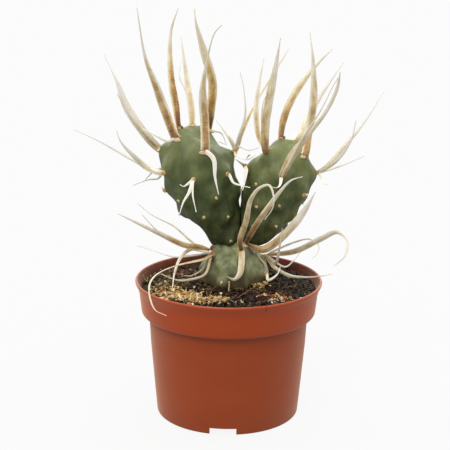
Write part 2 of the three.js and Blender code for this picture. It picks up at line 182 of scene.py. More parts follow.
# %% Rings pulled up along a profile
def pull_ring(stations):
    """Extrudes the selected ring of edges from each [radius, height] station to the next."""
    for (radius, height), (next_radius, next_height) in zip(stations, stations[1:]):
        lift = (0, 0, (next_height - height) * MM)
        grown = next_radius / radius
        bpy.ops.mesh.extrude_region_move(TRANSFORM_OT_translate={"value": lift})
        bpy.ops.transform.resize(value=(grown, grown, 1), center_override=(0, 0, next_height * MM))


def ring_up(name, profile, sides, closing):
    """Turns a profile of [radius, height] stations into a closed round shape about the Z axis."""
    radius, height = profile[0]
    deselect()
    bpy.ops.mesh.primitive_circle_add(
        vertices=sides, radius=radius * MM, location=(0, 0, height * MM), fill_type="NGON"
    )
    bpy.ops.object.mode_set(mode="EDIT")
    bpy.ops.mesh.select_mode(type="EDGE")
    bpy.ops.mesh.select_all(action="SELECT")
    bpy.ops.mesh.region_to_loop()
    pull_ring(profile)
    if closing == "POINT":
        bpy.ops.mesh.merge(type="CENTER")
    else:
        bpy.ops.mesh.edge_face_add()
    face_outwards()
    return settle(name)


# %% [markdown]
# Stems and spines follow smooth curves through a few given places. Each stretch is a cubic that
# leaves and enters its places with the slopes of their neighbours, as in the imported model.


# %% Smooth curves and directions
def smooth_line(points, count):
    """Points evenly spaced along the smooth curve that passes through the given ones."""
    given = np.array(points, float)
    gaps = np.linalg.norm(np.diff(given, axis=0), axis=1)
    knots = np.concatenate([[0], np.cumsum(gaps**0.5)])
    slopes = np.gradient(given, knots, axis=0)
    where = np.linspace(0, knots[-1], 16 * len(given))
    i = np.clip(np.searchsorted(knots, where, side="right") - 1, 0, len(gaps) - 1)
    span = (knots[i + 1] - knots[i])[:, None]
    t = (where - knots[i])[:, None] / span
    fine = (2 * t**3 - 3 * t**2 + 1) * given[i] + (t**3 - 2 * t**2 + t) * span * slopes[i]
    fine += (3 * t**2 - 2 * t**3) * given[i + 1] + (t**3 - t**2) * span * slopes[i + 1]
    reach = np.concatenate([[0], np.cumsum(np.linalg.norm(np.diff(fine, axis=0), axis=1))])
    even = np.linspace(0, reach[-1], count)
    return np.stack([np.interp(even, reach, column) for column in fine.T], axis=1)


def unit(rows):
    return rows / np.linalg.norm(rows, axis=-1, keepdims=True)


def ease(low, high, values):
    """0 below low, 1 above high, and soft between them."""
    t = np.clip((values - low) / (high - low), 0, 1)
    return t * t * (3 - 2 * t)


# %% [markdown]
# ## Material tools
# A material is a small network of nodes. These helpers add one node each and wire it up, so that a material
# below reads like a recipe. A value is a number, a colour or another node's output.


# %% Nodes in one line each
class Network:
    """One tree of shader nodes, with a method for each kind of node that the recipes use."""

    def __init__(self, tree):
        self.tree = tree

    def feed(self, sockets, values):
        """Sets each socket to its value, or links it where the value is another node's output."""
        for socket, value in values.items():
            if isinstance(value, bpy.types.NodeSocket):
                self.tree.links.new(value, sockets[socket])
            else:
                sockets[socket].default_value = value

    def add(self, kind, values, **settings):
        node = self.tree.nodes.new(kind)
        for name, value in settings.items():
            setattr(node, name, value)
        self.feed(node.inputs, values)
        return node

    def places(self):
        return self.add("ShaderNodeTexCoord", {}).outputs["Object"]

    def marked(self, name, output="Fac"):
        return self.add("ShaderNodeAttribute", {}, attribute_name=name).outputs[output]

    def looked_at(self):
        """1 where the camera looks straight at the surface, and 0 for the light that it gives."""
        return self.add("ShaderNodeLightPath", {}).outputs["Is Camera Ray"]

    def sum(self, operation, a, b=0.5):
        """One step of arithmetic, on two values or on the first alone."""
        return self.add("ShaderNodeMath", {0: a, 1: b}, operation=operation).outputs[0]

    def scaled(self, vector, x, y, z):
        values = {0: vector, 1: (x, y, z)}
        return self.add("ShaderNodeVectorMath", values, operation="MULTIPLY").outputs[0]

    def parts(self, vector):
        return self.add("ShaderNodeSeparateXYZ", {0: vector}).outputs

    def noise(self, vector, scale, detail=2.0, roughness=0.5):
        values = {"Vector": vector, "Scale": scale, "Detail": detail, "Roughness": roughness}
        return self.add("ShaderNodeTexNoise", values).outputs["Fac"]

    def cells(self, vector, scale):
        """The distance to the nearest of many scattered points."""
        return self.add("ShaderNodeTexVoronoi", {"Vector": vector, "Scale": scale}).outputs["Distance"]

    def span(self, value, low, high, to_low=0.0, to_high=1.0):
        """Carries a value from one range to another, softly at both ends."""
        values = {"Value": value, "From Min": low, "From Max": high, "To Min": to_low, "To Max": to_high}
        return self.add("ShaderNodeMapRange", values, interpolation_type="SMOOTHSTEP").outputs[0]

    def band(self, value, limits, to_low=0.0, to_high=1.0):
        """Like span, between two limits in millimetres."""
        return self.span(value, limits[0] * MM, limits[1] * MM, to_low, to_high)

    def ramp(self, value, colours):
        """Runs evenly through a row of colours while a value goes from 0 to 1."""
        node = self.add("ShaderNodeValToRGB", {0: value})
        steps = np.linspace(0, 1, len(colours))
        for step in steps[1:-1]:
            node.color_ramp.elements.new(step)
        for element, colour in zip(node.color_ramp.elements, colours):
            element.color = colour
        return node.outputs["Color"]

    def blend(self, share, a, b, how="MIX"):
        values = {0: share, 6: a, 7: b}
        return self.add("ShaderNodeMix", values, data_type="RGBA", blend_type=how).outputs[2]

    def bump(self, height, strength, depth):
        values = {"Height": height, "Strength": strength, "Distance": depth * MM}
        return self.add("ShaderNodeBump", values).outputs["Normal"]

    def effect(self, group, values):
        """Places a shared node group with values of its own, and gives its colour."""
        return self.add("ShaderNodeGroup", values, node_tree=group).outputs["Color"]


def finish_of(name):
    """A new material: its network and its Principled shader."""
    material = bpy.data.materials.new(name)
    material.use_nodes = True
    network = Network(material.node_tree)
    return material, network, material.node_tree.nodes["Principled BSDF"]


def wear(piece, material):
    piece.data.materials.clear()
    piece.data.materials.append(material)


def seen(red, green, blue):
    """A colour as it shows on screen, 0 to 255, in the linear light that a shader works with."""
    shown = np.array([red, green, blue]) / 255
    linear = np.where(shown <= 0.04045, shown / 12.92, ((shown + 0.055) / 1.055) ** 2.4)
    return (*linear.tolist(), 1.0)


print("a middle grey on screen is", round(seen(128, 128, 128)[0], 3), "in a shader")

# %% [markdown]
# Two effects are used by several materials, so each is built once as a node group. "Mottling" varies a
# colour softly in patches of a chosen size. "Dust" finds what faces up, broken up by noise, where a pale
# bloom of dust settles on a pot or a stem that stands for months.


# %% Shared effects
WHITE = (1, 1, 1, 1)


def shared_effect(name, inputs):
    """An empty node group that puts out a colour, its network, and the sockets at its two ends."""
    tree = bpy.data.node_groups.new(name, "ShaderNodeTree")
    for label, kind, value in inputs:
        socket = tree.interface.new_socket(label, in_out="INPUT", socket_type="NodeSocket" + kind)
        socket.default_value = value
    tree.interface.new_socket("Color", in_out="OUTPUT", socket_type="NodeSocketColor")
    entry = tree.nodes.new("NodeGroupInput").outputs
    way_out = tree.nodes.new("NodeGroupOutput").inputs
    return tree, Network(tree), entry, way_out


MOTTLING, net, entry, way_out = shared_effect("Mottling", [
    ("Place", "Vector", (0, 0, 0)), ("Base", "Color", WHITE), ("Patch", "Color", WHITE),
    ("Scale", "Float", 100.0), ("Amount", "Float", 0.5),
])
patchy = net.noise(entry["Place"], entry["Scale"], detail=4.0, roughness=0.6)
mask = net.sum("MULTIPLY", net.span(patchy, 0.35, 0.68), entry["Amount"])
net.feed(way_out, {"Color": net.blend(mask, entry["Base"], entry["Patch"])})

DUST, net, entry, way_out = shared_effect("Dust", [
    ("Place", "Vector", (0, 0, 0)), ("Base", "Color", WHITE), ("Dust", "Color", WHITE),
    ("Amount", "Float", 0.5),
])
upward = net.parts(net.add("ShaderNodeNewGeometry", {}).outputs["Normal"])["Z"]
settled = net.span(upward, 0.1, 0.95)
broken = net.span(net.noise(entry["Place"], 420.0, detail=5.0, roughness=0.65), 0.3, 0.7, 0.35, 1.0)
mask = net.sum("MULTIPLY", net.sum("MULTIPLY", settled, broken), entry["Amount"])
net.feed(way_out, {"Color": net.blend(mask, entry["Base"], entry["Dust"])})
print("shared effects:", [group.name for group in bpy.data.node_groups])

# %% [markdown]
# ## Light and floor
# The plant stands in a bright white studio. Light comes from above and from all sides but least from where
# the camera stands, which keeps the middle of the pot deep in colour and lets its edges turn pale. One soft
# lamp from above on the left models the stems. The floor looks almost white, with only a faint shadow at
# the pot's foot, but it throws little light up, so that the undersides of the stems stay dark. The Light
# Path node tells the view of the floor apart from the light that it gives.

# %% Studio
SKY_SIDES = 1.05
SKY_FRONT = 0.5
SKY_TOP = 1.55
SKY_BACK = 2.1
FRONT_TO_SIDES = (-0.85, 0.15)  # one light gives way to the next between these, in Y of a direction
SIDES_TO_BACK = (0.1, 0.8)
SIDES_TO_TOP = (0.25, 0.95)  # and here in Z
LAMP_STRENGTH = 1.3
LAMP_TURN = (42, 6, -30)
LAMP_SPREAD = 28  # degrees across, for shadows as soft as a window's
LAMP_COLOUR = (1.0, 0.98, 0.95)
FLOOR_SIZE = 12000
FLOOR_GREY = (0.04, 0.04, 0.04, 1)
FLOOR_LOOK = 0.9  # glow of the floor as it is seen
FLOOR_LIGHT = 0.42  # glow of the floor as the plant feels it
BACKDROP_COLOUR = (1.0, 0.995, 0.985, 1)
BACKDROP_LOOK = 0.956  # glow of the backdrop as it is seen

bpy.context.scene.view_settings.view_transform = "Standard"
world = bpy.data.worlds.new("studio")
world.use_nodes = True
bpy.context.scene.world = world
net = Network(world.node_tree)
towards = net.parts(net.add("ShaderNodeTexCoord", {}).outputs["Generated"])
fronts = net.span(towards["Y"], *FRONT_TO_SIDES, SKY_FRONT, SKY_SIDES)
backs = net.span(towards["Y"], *SIDES_TO_BACK, 0.0, SKY_BACK - SKY_SIDES)
tops = net.span(towards["Z"], *SIDES_TO_TOP, 0.0, SKY_TOP - SKY_SIDES)
given = net.sum("ADD", net.sum("ADD", fronts, backs), tops)
looked_at = net.looked_at()
glow = net.sum("ADD", net.sum("MULTIPLY", given, net.span(looked_at, 0.0, 1.0, 1.0, 0.0)),
               net.sum("MULTIPLY", looked_at, BACKDROP_LOOK))
backdrop = world.node_tree.nodes["Background"]
net.feed(backdrop.inputs, {"Color": BACKDROP_COLOUR, "Strength": glow})

deselect()
bpy.ops.object.light_add(type="SUN", rotation=[math.radians(turn) for turn in LAMP_TURN])
lamp = bpy.context.object.data
lamp.energy = LAMP_STRENGTH
lamp.angle = math.radians(LAMP_SPREAD)
lamp.color = LAMP_COLOUR

deselect()
bpy.ops.mesh.primitive_plane_add(size=FLOOR_SIZE * MM)
floor = settle("floor")
floor_paint, net, shader = finish_of("studio floor")
net.feed(shader.inputs, {
    "Base Color": FLOOR_GREY, "Roughness": 1.0, "Specular IOR Level": 0.0, "Emission Color": WHITE,
    "Emission Strength": net.span(net.looked_at(), 0.0, 1.0, FLOOR_LIGHT, FLOOR_LOOK),
})
wear(floor, floor_paint)
print("lamp", LAMP_STRENGTH, "sides", SKY_SIDES, "front", SKY_FRONT)

# %% [markdown]
# ## The pot
# A nursery pot is blown or moulded from thin plastic: a foot ring with notches to let water out, a tapered
# body, a ledge, a straight collar to lift it by, and a rolled lip. The wall's whole profile is known, so it
# is pulled up ring by ring, up the outside and down the inside. A moulding has no knife-sharp corner, so
# each corner of the profile is rounded first.

# %% The pot's profile
POT_SIDES = 160
LIP_RADIUS = 52.6
POT_HEIGHT = 77.8
FOOT_RADIUS = 40.3
FOOT_THICKNESS = 1.7
WALL = 1.2
FLOOR_UNDERSIDE = 3.8
FLOOR_TOP = 5
CORNER = 0.45  # radius of the rounded corners
UNDERSIDE = [[FOOT_RADIUS - FOOT_THICKNESS - 0.6, FLOOR_UNDERSIDE], [FOOT_RADIUS - FOOT_THICKNESS, 0]]
OUTER_WALL = [
    [FOOT_RADIUS - 0.5, 0], [FOOT_RADIUS, 0.7], [41.7, 16.4], [43.8, 40.8], [44.7, 57.6], [45.4, 58.3],
    [48.2, 58.6], [49.0, 59.6], [49.6, 64.8], [50.2, 70.4], [51.0, 73.4], [52.2, 75.6],
    [LIP_RADIUS, 76.8], [LIP_RADIUS - 0.6, POT_HEIGHT],
]
INNER_WALL = [
    [51.3, 77.3], [50.1, 74.6], [49.1, 71.0], [50.0 - WALL, 66.0], [49.2 - WALL, 60.6], [47.2, 59.7],
    [44.8, 59.4], [43.8, 58.4], [43.8 - WALL, 40.8], [41.7 - WALL, 16.4], [40.7 - WALL, 6.0],
    [38.2, FLOOR_TOP],
]


def rounded(profile, radius):
    """Rounds each corner of a profile, but not its ends, with two short steps."""
    corners = [np.array(point, float) for point in profile]
    line = [corners[0]]
    for before, corner, after in zip(corners, corners[1:], corners[2:]):
        near = [min(radius, 0.4 * np.linalg.norm(side - corner)) for side in (before, after)]
        enter = corner + unit(before - corner) * near[0]
        leave = corner + unit(after - corner) * near[1]
        line += [enter, (enter + 2 * corner + leave) / 4, leave]
    return [*line, corners[-1]]


pot_line = rounded(UNDERSIDE + OUTER_WALL + INNER_WALL, CORNER)
pot = ring_up("pot_shell", pot_line, POT_SIDES, "FACE")
tell(pot)

# %% [markdown]
# The notches and drain holes are cut away from the finished wall with Boolean modifiers, as a moulder's
# inserts leave them. All cutters are joined in one object first, which keeps the cutting to one step. A
# thin slit in the lip is where this pot has cracked.

# %% Notches, drain holes and the crack in the lip
NOTCHES = 3
NOTCH_WIDTH = 14.8
NOTCH_HEIGHT = 3.8
NOTCH_DEPTH = 7  # right through the foot ring
NOTCH_TURN = -93.5
DRAIN_HOLES = 8
DRAIN_RADIUS = 3.2
DRAIN_CIRCLE = 28
DRAIN_DEPTH = 9
DRAIN_SIDES = 40
CRACK_TURN = -67.6
CRACK_SIZE = (8, 0.6, 6.5)
CRACK_HEIGHT = POT_HEIGHT - 0.7
POT_SHARPNESS = 38  # degrees: edges that turn less look smooth


def cutter_block(turn, radius, size, height):
    """A block of this size, turned round the pot's axis at a radius."""
    turned = Matrix.Rotation(math.radians(turn), 4, "Z")
    deselect()
    bpy.ops.mesh.primitive_cube_add(size=MM)
    bpy.ops.transform.resize(value=size)
    block = settle("cutter")
    block.data.transform(turned @ Matrix.Translation(Vector((radius, 0, height)) * MM))
    return block


notch = (NOTCH_DEPTH, NOTCH_WIDTH, 2 * NOTCH_HEIGHT)
blocks = [cutter_block(NOTCH_TURN + i * 360 / NOTCHES, FOOT_RADIUS, notch, 0) for i in range(NOTCHES)]
blocks.append(cutter_block(CRACK_TURN, LIP_RADIUS, CRACK_SIZE, CRACK_HEIGHT))
for i in range(DRAIN_HOLES):
    around = math.radians(i * 360 / DRAIN_HOLES)
    spot = Vector((DRAIN_CIRCLE * math.cos(around), DRAIN_CIRCLE * math.sin(around), FLOOR_TOP)) * MM
    deselect()
    bpy.ops.mesh.primitive_cylinder_add(
        vertices=DRAIN_SIDES, radius=DRAIN_RADIUS * MM, depth=DRAIN_DEPTH * MM, location=spot
    )
    blocks.append(settle("cutter"))
cutter = join_as("cutter", blocks)
apply_modifier(pot, "BOOLEAN", object=cutter, operation="DIFFERENCE", solver="EXACT")
bpy.data.objects.remove(cutter)
bpy.ops.object.shade_smooth_by_angle(angle=math.radians(POT_SHARPNESS))
tell(pot)

# %% [markdown]
# The plastic is a warm brick orange, slightly milky where light grazes it. Its gloss is that of worn
# polypropylene: broad and soft, with fine scuffs round the pot and a trace of dust and limescale. Below
# the ledge the wall is thin and a little darker near the foot. The collar is painted a lighter, redder
# orange as painted light, and the inner wall above the soil is painted dark red-brown as painted shade.

# %% Terracotta-coloured plastic
PLASTIC_DEEP = seen(152, 60, 12)
PLASTIC_PALE = seen(160, 68, 18)
COLLAR_PAINTED_LIGHT = seen(167, 61, 8)
INSIDE_SHADE = seen(48, 17, 9)
PLASTIC_LOW = seen(126, 48, 18)
PLASTIC_DUST = seen(196, 150, 122)
PLASTIC_SHEEN = (1.0, 0.75, 0.5, 1)
LOW_WALL = (4, 20)  # the wall is darker below, and no longer above
COLLAR_STARTS = (58.2, 59.2)
SHADE_STARTS = (64, 68)  # the inner wall is shaded above these, where no soil covers it
OUTER_LEAN = 0.2  # how much the collar widens as it rises
INNER_EDGE = (35.75, 36.05)  # radius less the lean, between the inner wall and the lip

plastic, net, shader = finish_of("terracotta plastic")
place = net.places()
east, north, height = net.parts(place)
colour = net.effect(MOTTLING, {
    "Place": net.scaled(place, 1, 1, 1.6), "Base": PLASTIC_DEEP, "Patch": PLASTIC_PALE, "Scale": 45.0,
    "Amount": 0.35})
# the collar is painted a lighter, redder copy of the plastic: painted light, for the collar catching less
# light than the body
collar = net.band(height, COLLAR_STARTS, 0.0, 0.9)
colour = net.blend(collar, colour, COLLAR_PAINTED_LIGHT)
from_axis = net.sum("SQRT", net.sum("ADD", net.sum("POWER", east, 2.0), net.sum("POWER", north, 2.0)))
slanted = net.sum("SUBTRACT", from_axis, net.sum("MULTIPLY", height, OUTER_LEAN))
# the inner wall above the soil is painted dark red-brown in patches: painted shade, for the little light
# that reaches inside the pot; this mask also makes it matt
inner_shade = net.sum("MULTIPLY", net.band(slanted, INNER_EDGE, 0.95, 0.0), net.band(height, SHADE_STARTS))
shade_patches = net.span(net.noise(net.scaled(place, 1, 1, 0.5), 160.0, detail=5.0), 0.3, 0.7, 0.7, 1.0)
colour = net.blend(net.sum("MULTIPLY", inner_shade, shade_patches), colour, INSIDE_SHADE)
low_wall = net.band(height, LOW_WALL, 0.16, 0.0)
colour = net.blend(low_wall, colour, PLASTIC_LOW)
scuffs = net.noise(net.scaled(place, 60, 60, 2600), 1.0, detail=4.0, roughness=0.7)
specks = net.span(net.noise(place, 1800.0, detail=1.0), 0.68, 0.76)
colour = net.blend(net.sum("MULTIPLY", specks, 0.12), colour, PLASTIC_DUST)
net.feed(shader.inputs, {
    "Base Color": net.effect(DUST, {"Place": place, "Base": colour, "Dust": PLASTIC_DUST, "Amount": 0.2}),
    "Roughness": net.sum("MAXIMUM", net.span(scuffs, 0.3, 0.75, 0.4, 0.52), inner_shade),
    "Normal": net.bump(scuffs, 0.12, 0.05),
    "IOR": 1.49,
    "Specular IOR Level": 0.4,
    "Sheen Weight": 0.36,
    "Sheen Roughness": 0.4,
    "Sheen Tint": PLASTIC_SHEEN,
})
wear(pot, plastic)
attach(pot, "root")
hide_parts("pot")
print("plastic nodes:", len(plastic.node_tree.nodes))

# %% [markdown]
# ## The soil
# Potting peat fills the pot to a few millimetres under the lip and is heaped a little at the stem. Its bed
# is one closed body: a disc of small square faces is raised to the lumpy surface, and its edge is pulled
# down along the inside of the pot. The crumbs on top are separate bits, because no bump on a smooth bed
# gives their broken outline.

# %% The soil bed
SOIL_SIDES = 128
SOIL_LEVEL = 72.6
STEM_CENTRE = (3, 9)
STEM_HEAP = 2.6
STEM_HEAP_REACH = (27, 27)
FRONT_CENTRE = (-24, -30)
FRONT_HEAP = 1.3
FRONT_HEAP_REACH = (13, 11)
GAP = 0.3  # between pieces that touch on the real plant
LUMPY_RADIUS = 45.48  # the bed stays even along the pot's wall
BROAD_LUMPS = 0.5
SMALL_LUMPS = 0.3
BED_LUMPS = ((3.6, 2.0), (1.3, 1.0))  # size and height, large lumps first


def bell(x, y, centre, reach):
    """1 at the centre, and falling softly to almost nothing at twice the reach."""
    return np.exp(-(((x - centre[0]) / reach[0]) ** 2) - ((y - centre[1]) / reach[1]) ** 2)


def soil_height(x, y):
    heap = STEM_HEAP * bell(x, y, STEM_CENTRE, STEM_HEAP_REACH)
    front_left = FRONT_HEAP * bell(x, y, FRONT_CENTRE, FRONT_HEAP_REACH)
    broad_lumps = BROAD_LUMPS * np.sin(0.31 * x + 1.3) * np.cos(0.27 * y - 0.4)
    small_lumps = SMALL_LUMPS * np.sin(0.55 * x - 0.47 * y)
    return SOIL_LEVEL + heap + front_left + broad_lumps + small_lumps


deselect()
wall_line = [(radius - GAP, height + GAP) for radius, height in INNER_WALL[2:]]
edge_radius, edge_height = wall_line[0]
bpy.ops.mesh.primitive_circle_add(
    vertices=SOIL_SIDES, radius=edge_radius * MM, location=(0, 0, edge_height * MM)
)
bpy.ops.object.mode_set(mode="EDIT")
bpy.ops.mesh.select_mode(type="EDGE")
bpy.ops.mesh.select_all(action="SELECT")
bpy.ops.mesh.fill_grid(span=SOIL_SIDES // 4)
bpy.ops.mesh.select_all(action="SELECT")
bpy.ops.mesh.subdivide(number_cuts=3)
bpy.ops.mesh.select_all(action="SELECT")
bpy.ops.mesh.region_to_loop()
pull_ring(wall_line)
bpy.ops.mesh.edge_face_add()
face_outwards()
bed = settle("soil_bed")
bed_points = points_of(bed)
on_top = bed_points[:, 2] > edge_height - GAP / 2
bed_points[on_top, 2] = soil_height(bed_points[on_top, 0], bed_points[on_top, 1])
move_points(bed, bed_points)
lumpy = on_top & (np.hypot(bed_points[:, 0], bed_points[:, 1]) < LUMPY_RADIUS)
bed.vertex_groups.new(name="lumpy").add([int(i) for i in np.flatnonzero(lumpy)], 1.0, "REPLACE")
for lump_size, lump_height in BED_LUMPS:
    lumps(bed, lump_size, lump_height, "lumpy")
bpy.ops.object.shade_smooth()
bed_tree = BVHTree.FromPolygons(points_of(bed).tolist(), [face.vertices[:] for face in bed.data.polygons])
tell(bed)

# %% [markdown]
# The bits come from a few blanks: a rough crumb, a thin flake of bark or husk, and a bent fibre. Each blank
# is modelled once with a handful of faces, and then thousands of copies are laid on the bed, each turned,
# sized and tinted by a seeded draw. They are fused into one mesh in one go, because an operator for each
# copy would take minutes.

# %% Blanks, and copies of them fused into one piece
# every blank is about 1 long, so these are shares of a bit's own size
CRUMB_ROUGHNESS = 0.14
FLAKE_RAGGEDNESS = 0.13
FLAKE_THICKNESS = 0.14
FIBRE_RADII = (0.02, 0.012)


def crumb_blank(seed):
    deselect()
    bpy.ops.mesh.primitive_ico_sphere_add(subdivisions=1, radius=0.5 * MM)
    bpy.ops.object.mode_set(mode="EDIT")
    bpy.ops.transform.vertex_random(offset=CRUMB_ROUGHNESS * MM, seed=seed)
    return settle("blank")


def flake_blank(seed):
    """A thin, bent and ragged plate."""
    deselect()
    bpy.ops.mesh.primitive_grid_add(x_subdivisions=3, y_subdivisions=2, size=MM)
    bpy.ops.object.mode_set(mode="EDIT")
    bpy.ops.transform.vertex_random(offset=FLAKE_RAGGEDNESS * MM, seed=seed)
    bpy.ops.mesh.extrude_region_move(TRANSFORM_OT_translate={"value": (0, 0, FLAKE_THICKNESS * MM)})
    face_outwards()
    bpy.ops.mesh.quads_convert_to_tris()
    return settle("blank")


def fibre_blank(bend):
    """A three-sided hair of length 1, bent sideways in the middle."""
    deselect()
    thick, thin = FIBRE_RADII
    bpy.ops.mesh.primitive_cone_add(vertices=3, radius1=thick * MM, radius2=thin * MM, depth=MM)
    bpy.ops.object.mode_set(mode="EDIT")
    bpy.ops.mesh.subdivide(number_cuts=2)
    bpy.ops.mesh.quads_convert_to_tris()
    hair = settle("blank")
    points = points_of(hair)
    points[:, 0] += bend * (1 - 4 * points[:, 2] ** 2)
    move_points(hair, points)
    return hair


def fuse(name, blank, copies):
    """One mesh of many copies of a triangulated blank, each given by its 3x4 matrix and its tint."""
    points = points_of(blank)
    faces = np.array([face.vertices[:] for face in blank.data.polygons])
    matrices, tints = (np.array(column, float) for column in zip(*copies))
    placed = np.einsum("nij,vj->nvi", matrices[:, :, :3], points) + matrices[:, None, :, 3]
    numbered = faces[None] + len(points) * np.arange(len(copies))[:, None, None]
    mesh = bpy.data.meshes.new(name)
    corners = numbered.reshape(-1, faces.shape[1])
    mesh.from_pydata((placed.reshape(-1, 3) * MM).tolist(), [], corners.tolist())
    piece = bpy.data.objects.new(name, mesh)
    bpy.context.collection.objects.link(piece)
    mark(piece, "tint", np.repeat(tints, len(points), axis=0))
    return piece


def turned_to(direction, spin, size):
    """A 3x3 matrix that scales by size, spins about Z and then turns Z to a direction."""
    scaled = Matrix.Diagonal(Vector(size))
    swing = Vector((0, 0, 1)).rotation_difference(Vector(direction)).to_matrix()
    return swing @ Matrix.Rotation(spin, 3, "Z") @ scaled


# %% [markdown]
# Where each kind of bit lies follows the photograph: dark peat everywhere, a golden clump of husk at the
# front left, orange bark at the front right, pale specks of grit, tan bits at the foot of the stem. Each
# patch is a centre with a spread, a count, a range of sizes and a few colours.

# %% Patches of bits
PEAT_BLACK = seen(26, 20, 17)
PEAT_BROWN = seen(76, 57, 40)
PEAT_DRY = seen(104, 82, 58)
PEAT = [seen(40, 29, 22), seen(58, 43, 31), PEAT_BROWN, PEAT_BLACK, PEAT_DRY]
GOLD = [seen(228, 200, 142), seen(210, 174, 110), seen(242, 226, 184), seen(190, 150, 92),
        seen(128, 92, 54)]
RUST = [seen(206, 152, 100), seen(178, 116, 70), seen(230, 192, 144), seen(112, 70, 46)]
CREAM = [seen(236, 222, 190), seen(214, 196, 160), seen(240, 232, 214)]
MOSS = [seen(136, 126, 86), seen(110, 102, 68), seen(160, 148, 104), seen(76, 68, 46)]
SLATE = [seen(74, 88, 84), seen(60, 68, 64), seen(46, 40, 38)]
PLUM = [seen(52, 38, 44), seen(66, 50, 54), seen(34, 26, 32)]
RED = [seen(140, 74, 56), seen(110, 58, 44), seen(190, 150, 136)]

EVERYWHERE = ((0, 0), (27, 27))
PATCHES = [
    # colours, centre and spread, how many, sizes, how high they pile
    (PEAT, EVERYWHERE, 1900, (0.8, 2.8), 0.6),
    (CREAM, EVERYWHERE, 240, (0.4, 1.0), 0.7),
    (MOSS, EVERYWHERE, 380, (0.6, 1.9), 0.6),
    (GOLD, ((-27, -21), (7, 5)), 620, (0.8, 2.4), 1.4),
    (GOLD, ((-19, -29), (6, 2.6)), 240, (0.8, 2.4), 1.3),
    (GOLD, ((-35, -9), (4, 5)), 150, (0.7, 2.0), 0.9),
    (GOLD, ((-7, -27), (4, 3)), 220, (0.8, 2.2), 1.3),
    (RUST, ((26, -22), (4.5, 2.5)), 130, (0.9, 2.4), 1.4),
    (CREAM, ((27, -27), (3, 1.8)), 34, (0.8, 1.7), 1.2),
    (GOLD, ((17, -4.5), (2.6, 1.6)), 90, (0.8, 2.2), 3.0),
    (CREAM, ((1, -33), (12, 4)), 80, (0.5, 1.1), 0.8),
    (MOSS, ((-32, 10), (9, 12)), 340, (0.7, 2.2), 0.9),
    (RED, ((-24, 24), (9, 6)), 130, (0.8, 2.4), 0.9),
    (SLATE, ((38, -4), (6, 12)), 140, (0.8, 2.2), 0.9),
    (PLUM, ((16, -22), (6, 5)), 90, (1.4, 3.6), 0.8),
    (PLUM, ((1, -24), (3, 5)), 50, (1.2, 3.0), 0.8),
    (PEAT, ((-10, -14), (6, 4)), 120, (1.0, 3.0), 1.2),
    # dark peat heaped along the front edge, under the lip: partly real peat and partly painted shade of the
    # lip
    (PEAT, ((-6, -41), (18, 3)), 380, (0.8, 2.6), 1.8),
    (PEAT, ((20, -34), (10, 4)), 160, (1.2, 3.2), 1.2),
]
STEM_AT_SOIL = 17.4
SOIL_EDGE = 48.3
OVER_THE_POT = 90
UPRIGHT = (0, 0, 1.1)  # the middle of the directions in which bits lean
LEAN_SPREAD = 0.6
TINT_RANGE = (0.75, 1.2)
SUNK = -0.1  # how far the deepest bits sink in the bed
UNDER_THE_LIP = 1.5  # no bit is higher than this much below the lip's top
draw = np.random.default_rng(11)


def on_the_bed(x, y):
    """The height of the bed at a place, or nothing outside the soil or under the stem."""
    if math.hypot(x, y) > SOIL_EDGE or math.hypot(x - STEM_CENTRE[0], y - STEM_CENTRE[1]) < STEM_AT_SOIL:
        return None
    hit = bed_tree.ray_cast(Vector((x, y, OVER_THE_POT)), Vector((0, 0, -1)))
    return hit[0].z if hit[0] else None


def lay_bits(patch, share, blanks, shape):
    """Copies for a share of one patch's bits, sorted by the blank that each is a copy of."""
    colours, (centre, spread), count, (smallest, largest), pile = patch
    laid = {blank.name: [] for blank in blanks}
    for _ in range(int(count * share)):
        x, y = draw.normal(centre, spread)
        height = on_the_bed(x, y)
        blank = blanks[draw.integers(len(blanks))]
        size = smallest + (largest - smallest) * draw.random() ** 2
        lean = draw.normal(UPRIGHT, LEAN_SPREAD)
        turn = turned_to(unit(lean), draw.uniform(0, 2 * math.pi), size * draw.uniform(*shape))
        tint = np.array(colours[draw.integers(len(colours))][:3]) * draw.uniform(*TINT_RANGE)
        if height is not None:
            rise = height + draw.uniform(SUNK, pile)
            spot = Vector((x, y, min(rise, POT_HEIGHT - UNDER_THE_LIP)))
            laid[blank.name].append((np.column_stack([turn, spot]), tint))
    return laid


# %% [markdown]
# Crumbs are laid for every patch. Peat, husk and bark also break into flakes, so some of their bits are
# copies of a flake. What is laid of one blank in one patch makes one heap. A shape gives the smallest and
# the largest share of a bit's size that it has in X, Y and Z.

# %% Crumbs and flakes
CRUMB_SHAPE = ((0.6, 0.6, 0.45), (1.3, 1.0, 0.9))
FLAKE_SHAPE = ((1.0, 0.5, 0.7), (2.2, 1.1, 1.2))
FLAKE_SHARE = 0.4  # of the bits of peat, husk and bark

crumb_blanks = [crumb_blank(seed) for seed in range(4)]
flake_blanks = [flake_blank(seed) for seed in range(3)]
heaps = []
for patch in PATCHES:
    flakes = FLAKE_SHARE if patch[0] in (GOLD, RUST, PEAT) else 0
    for blanks, shape, share in (
        (crumb_blanks, CRUMB_SHAPE, 1 - flakes), (flake_blanks, FLAKE_SHAPE, flakes)
    ):
        laid = lay_bits(patch, share, blanks, shape)
        heaps += [fuse("heap", blank, laid[blank.name]) for blank in blanks if laid[blank.name]]
print("heaps of bits:", len(heaps), "with", sum(len(heap.data.polygons) for heap in heaps), "faces")
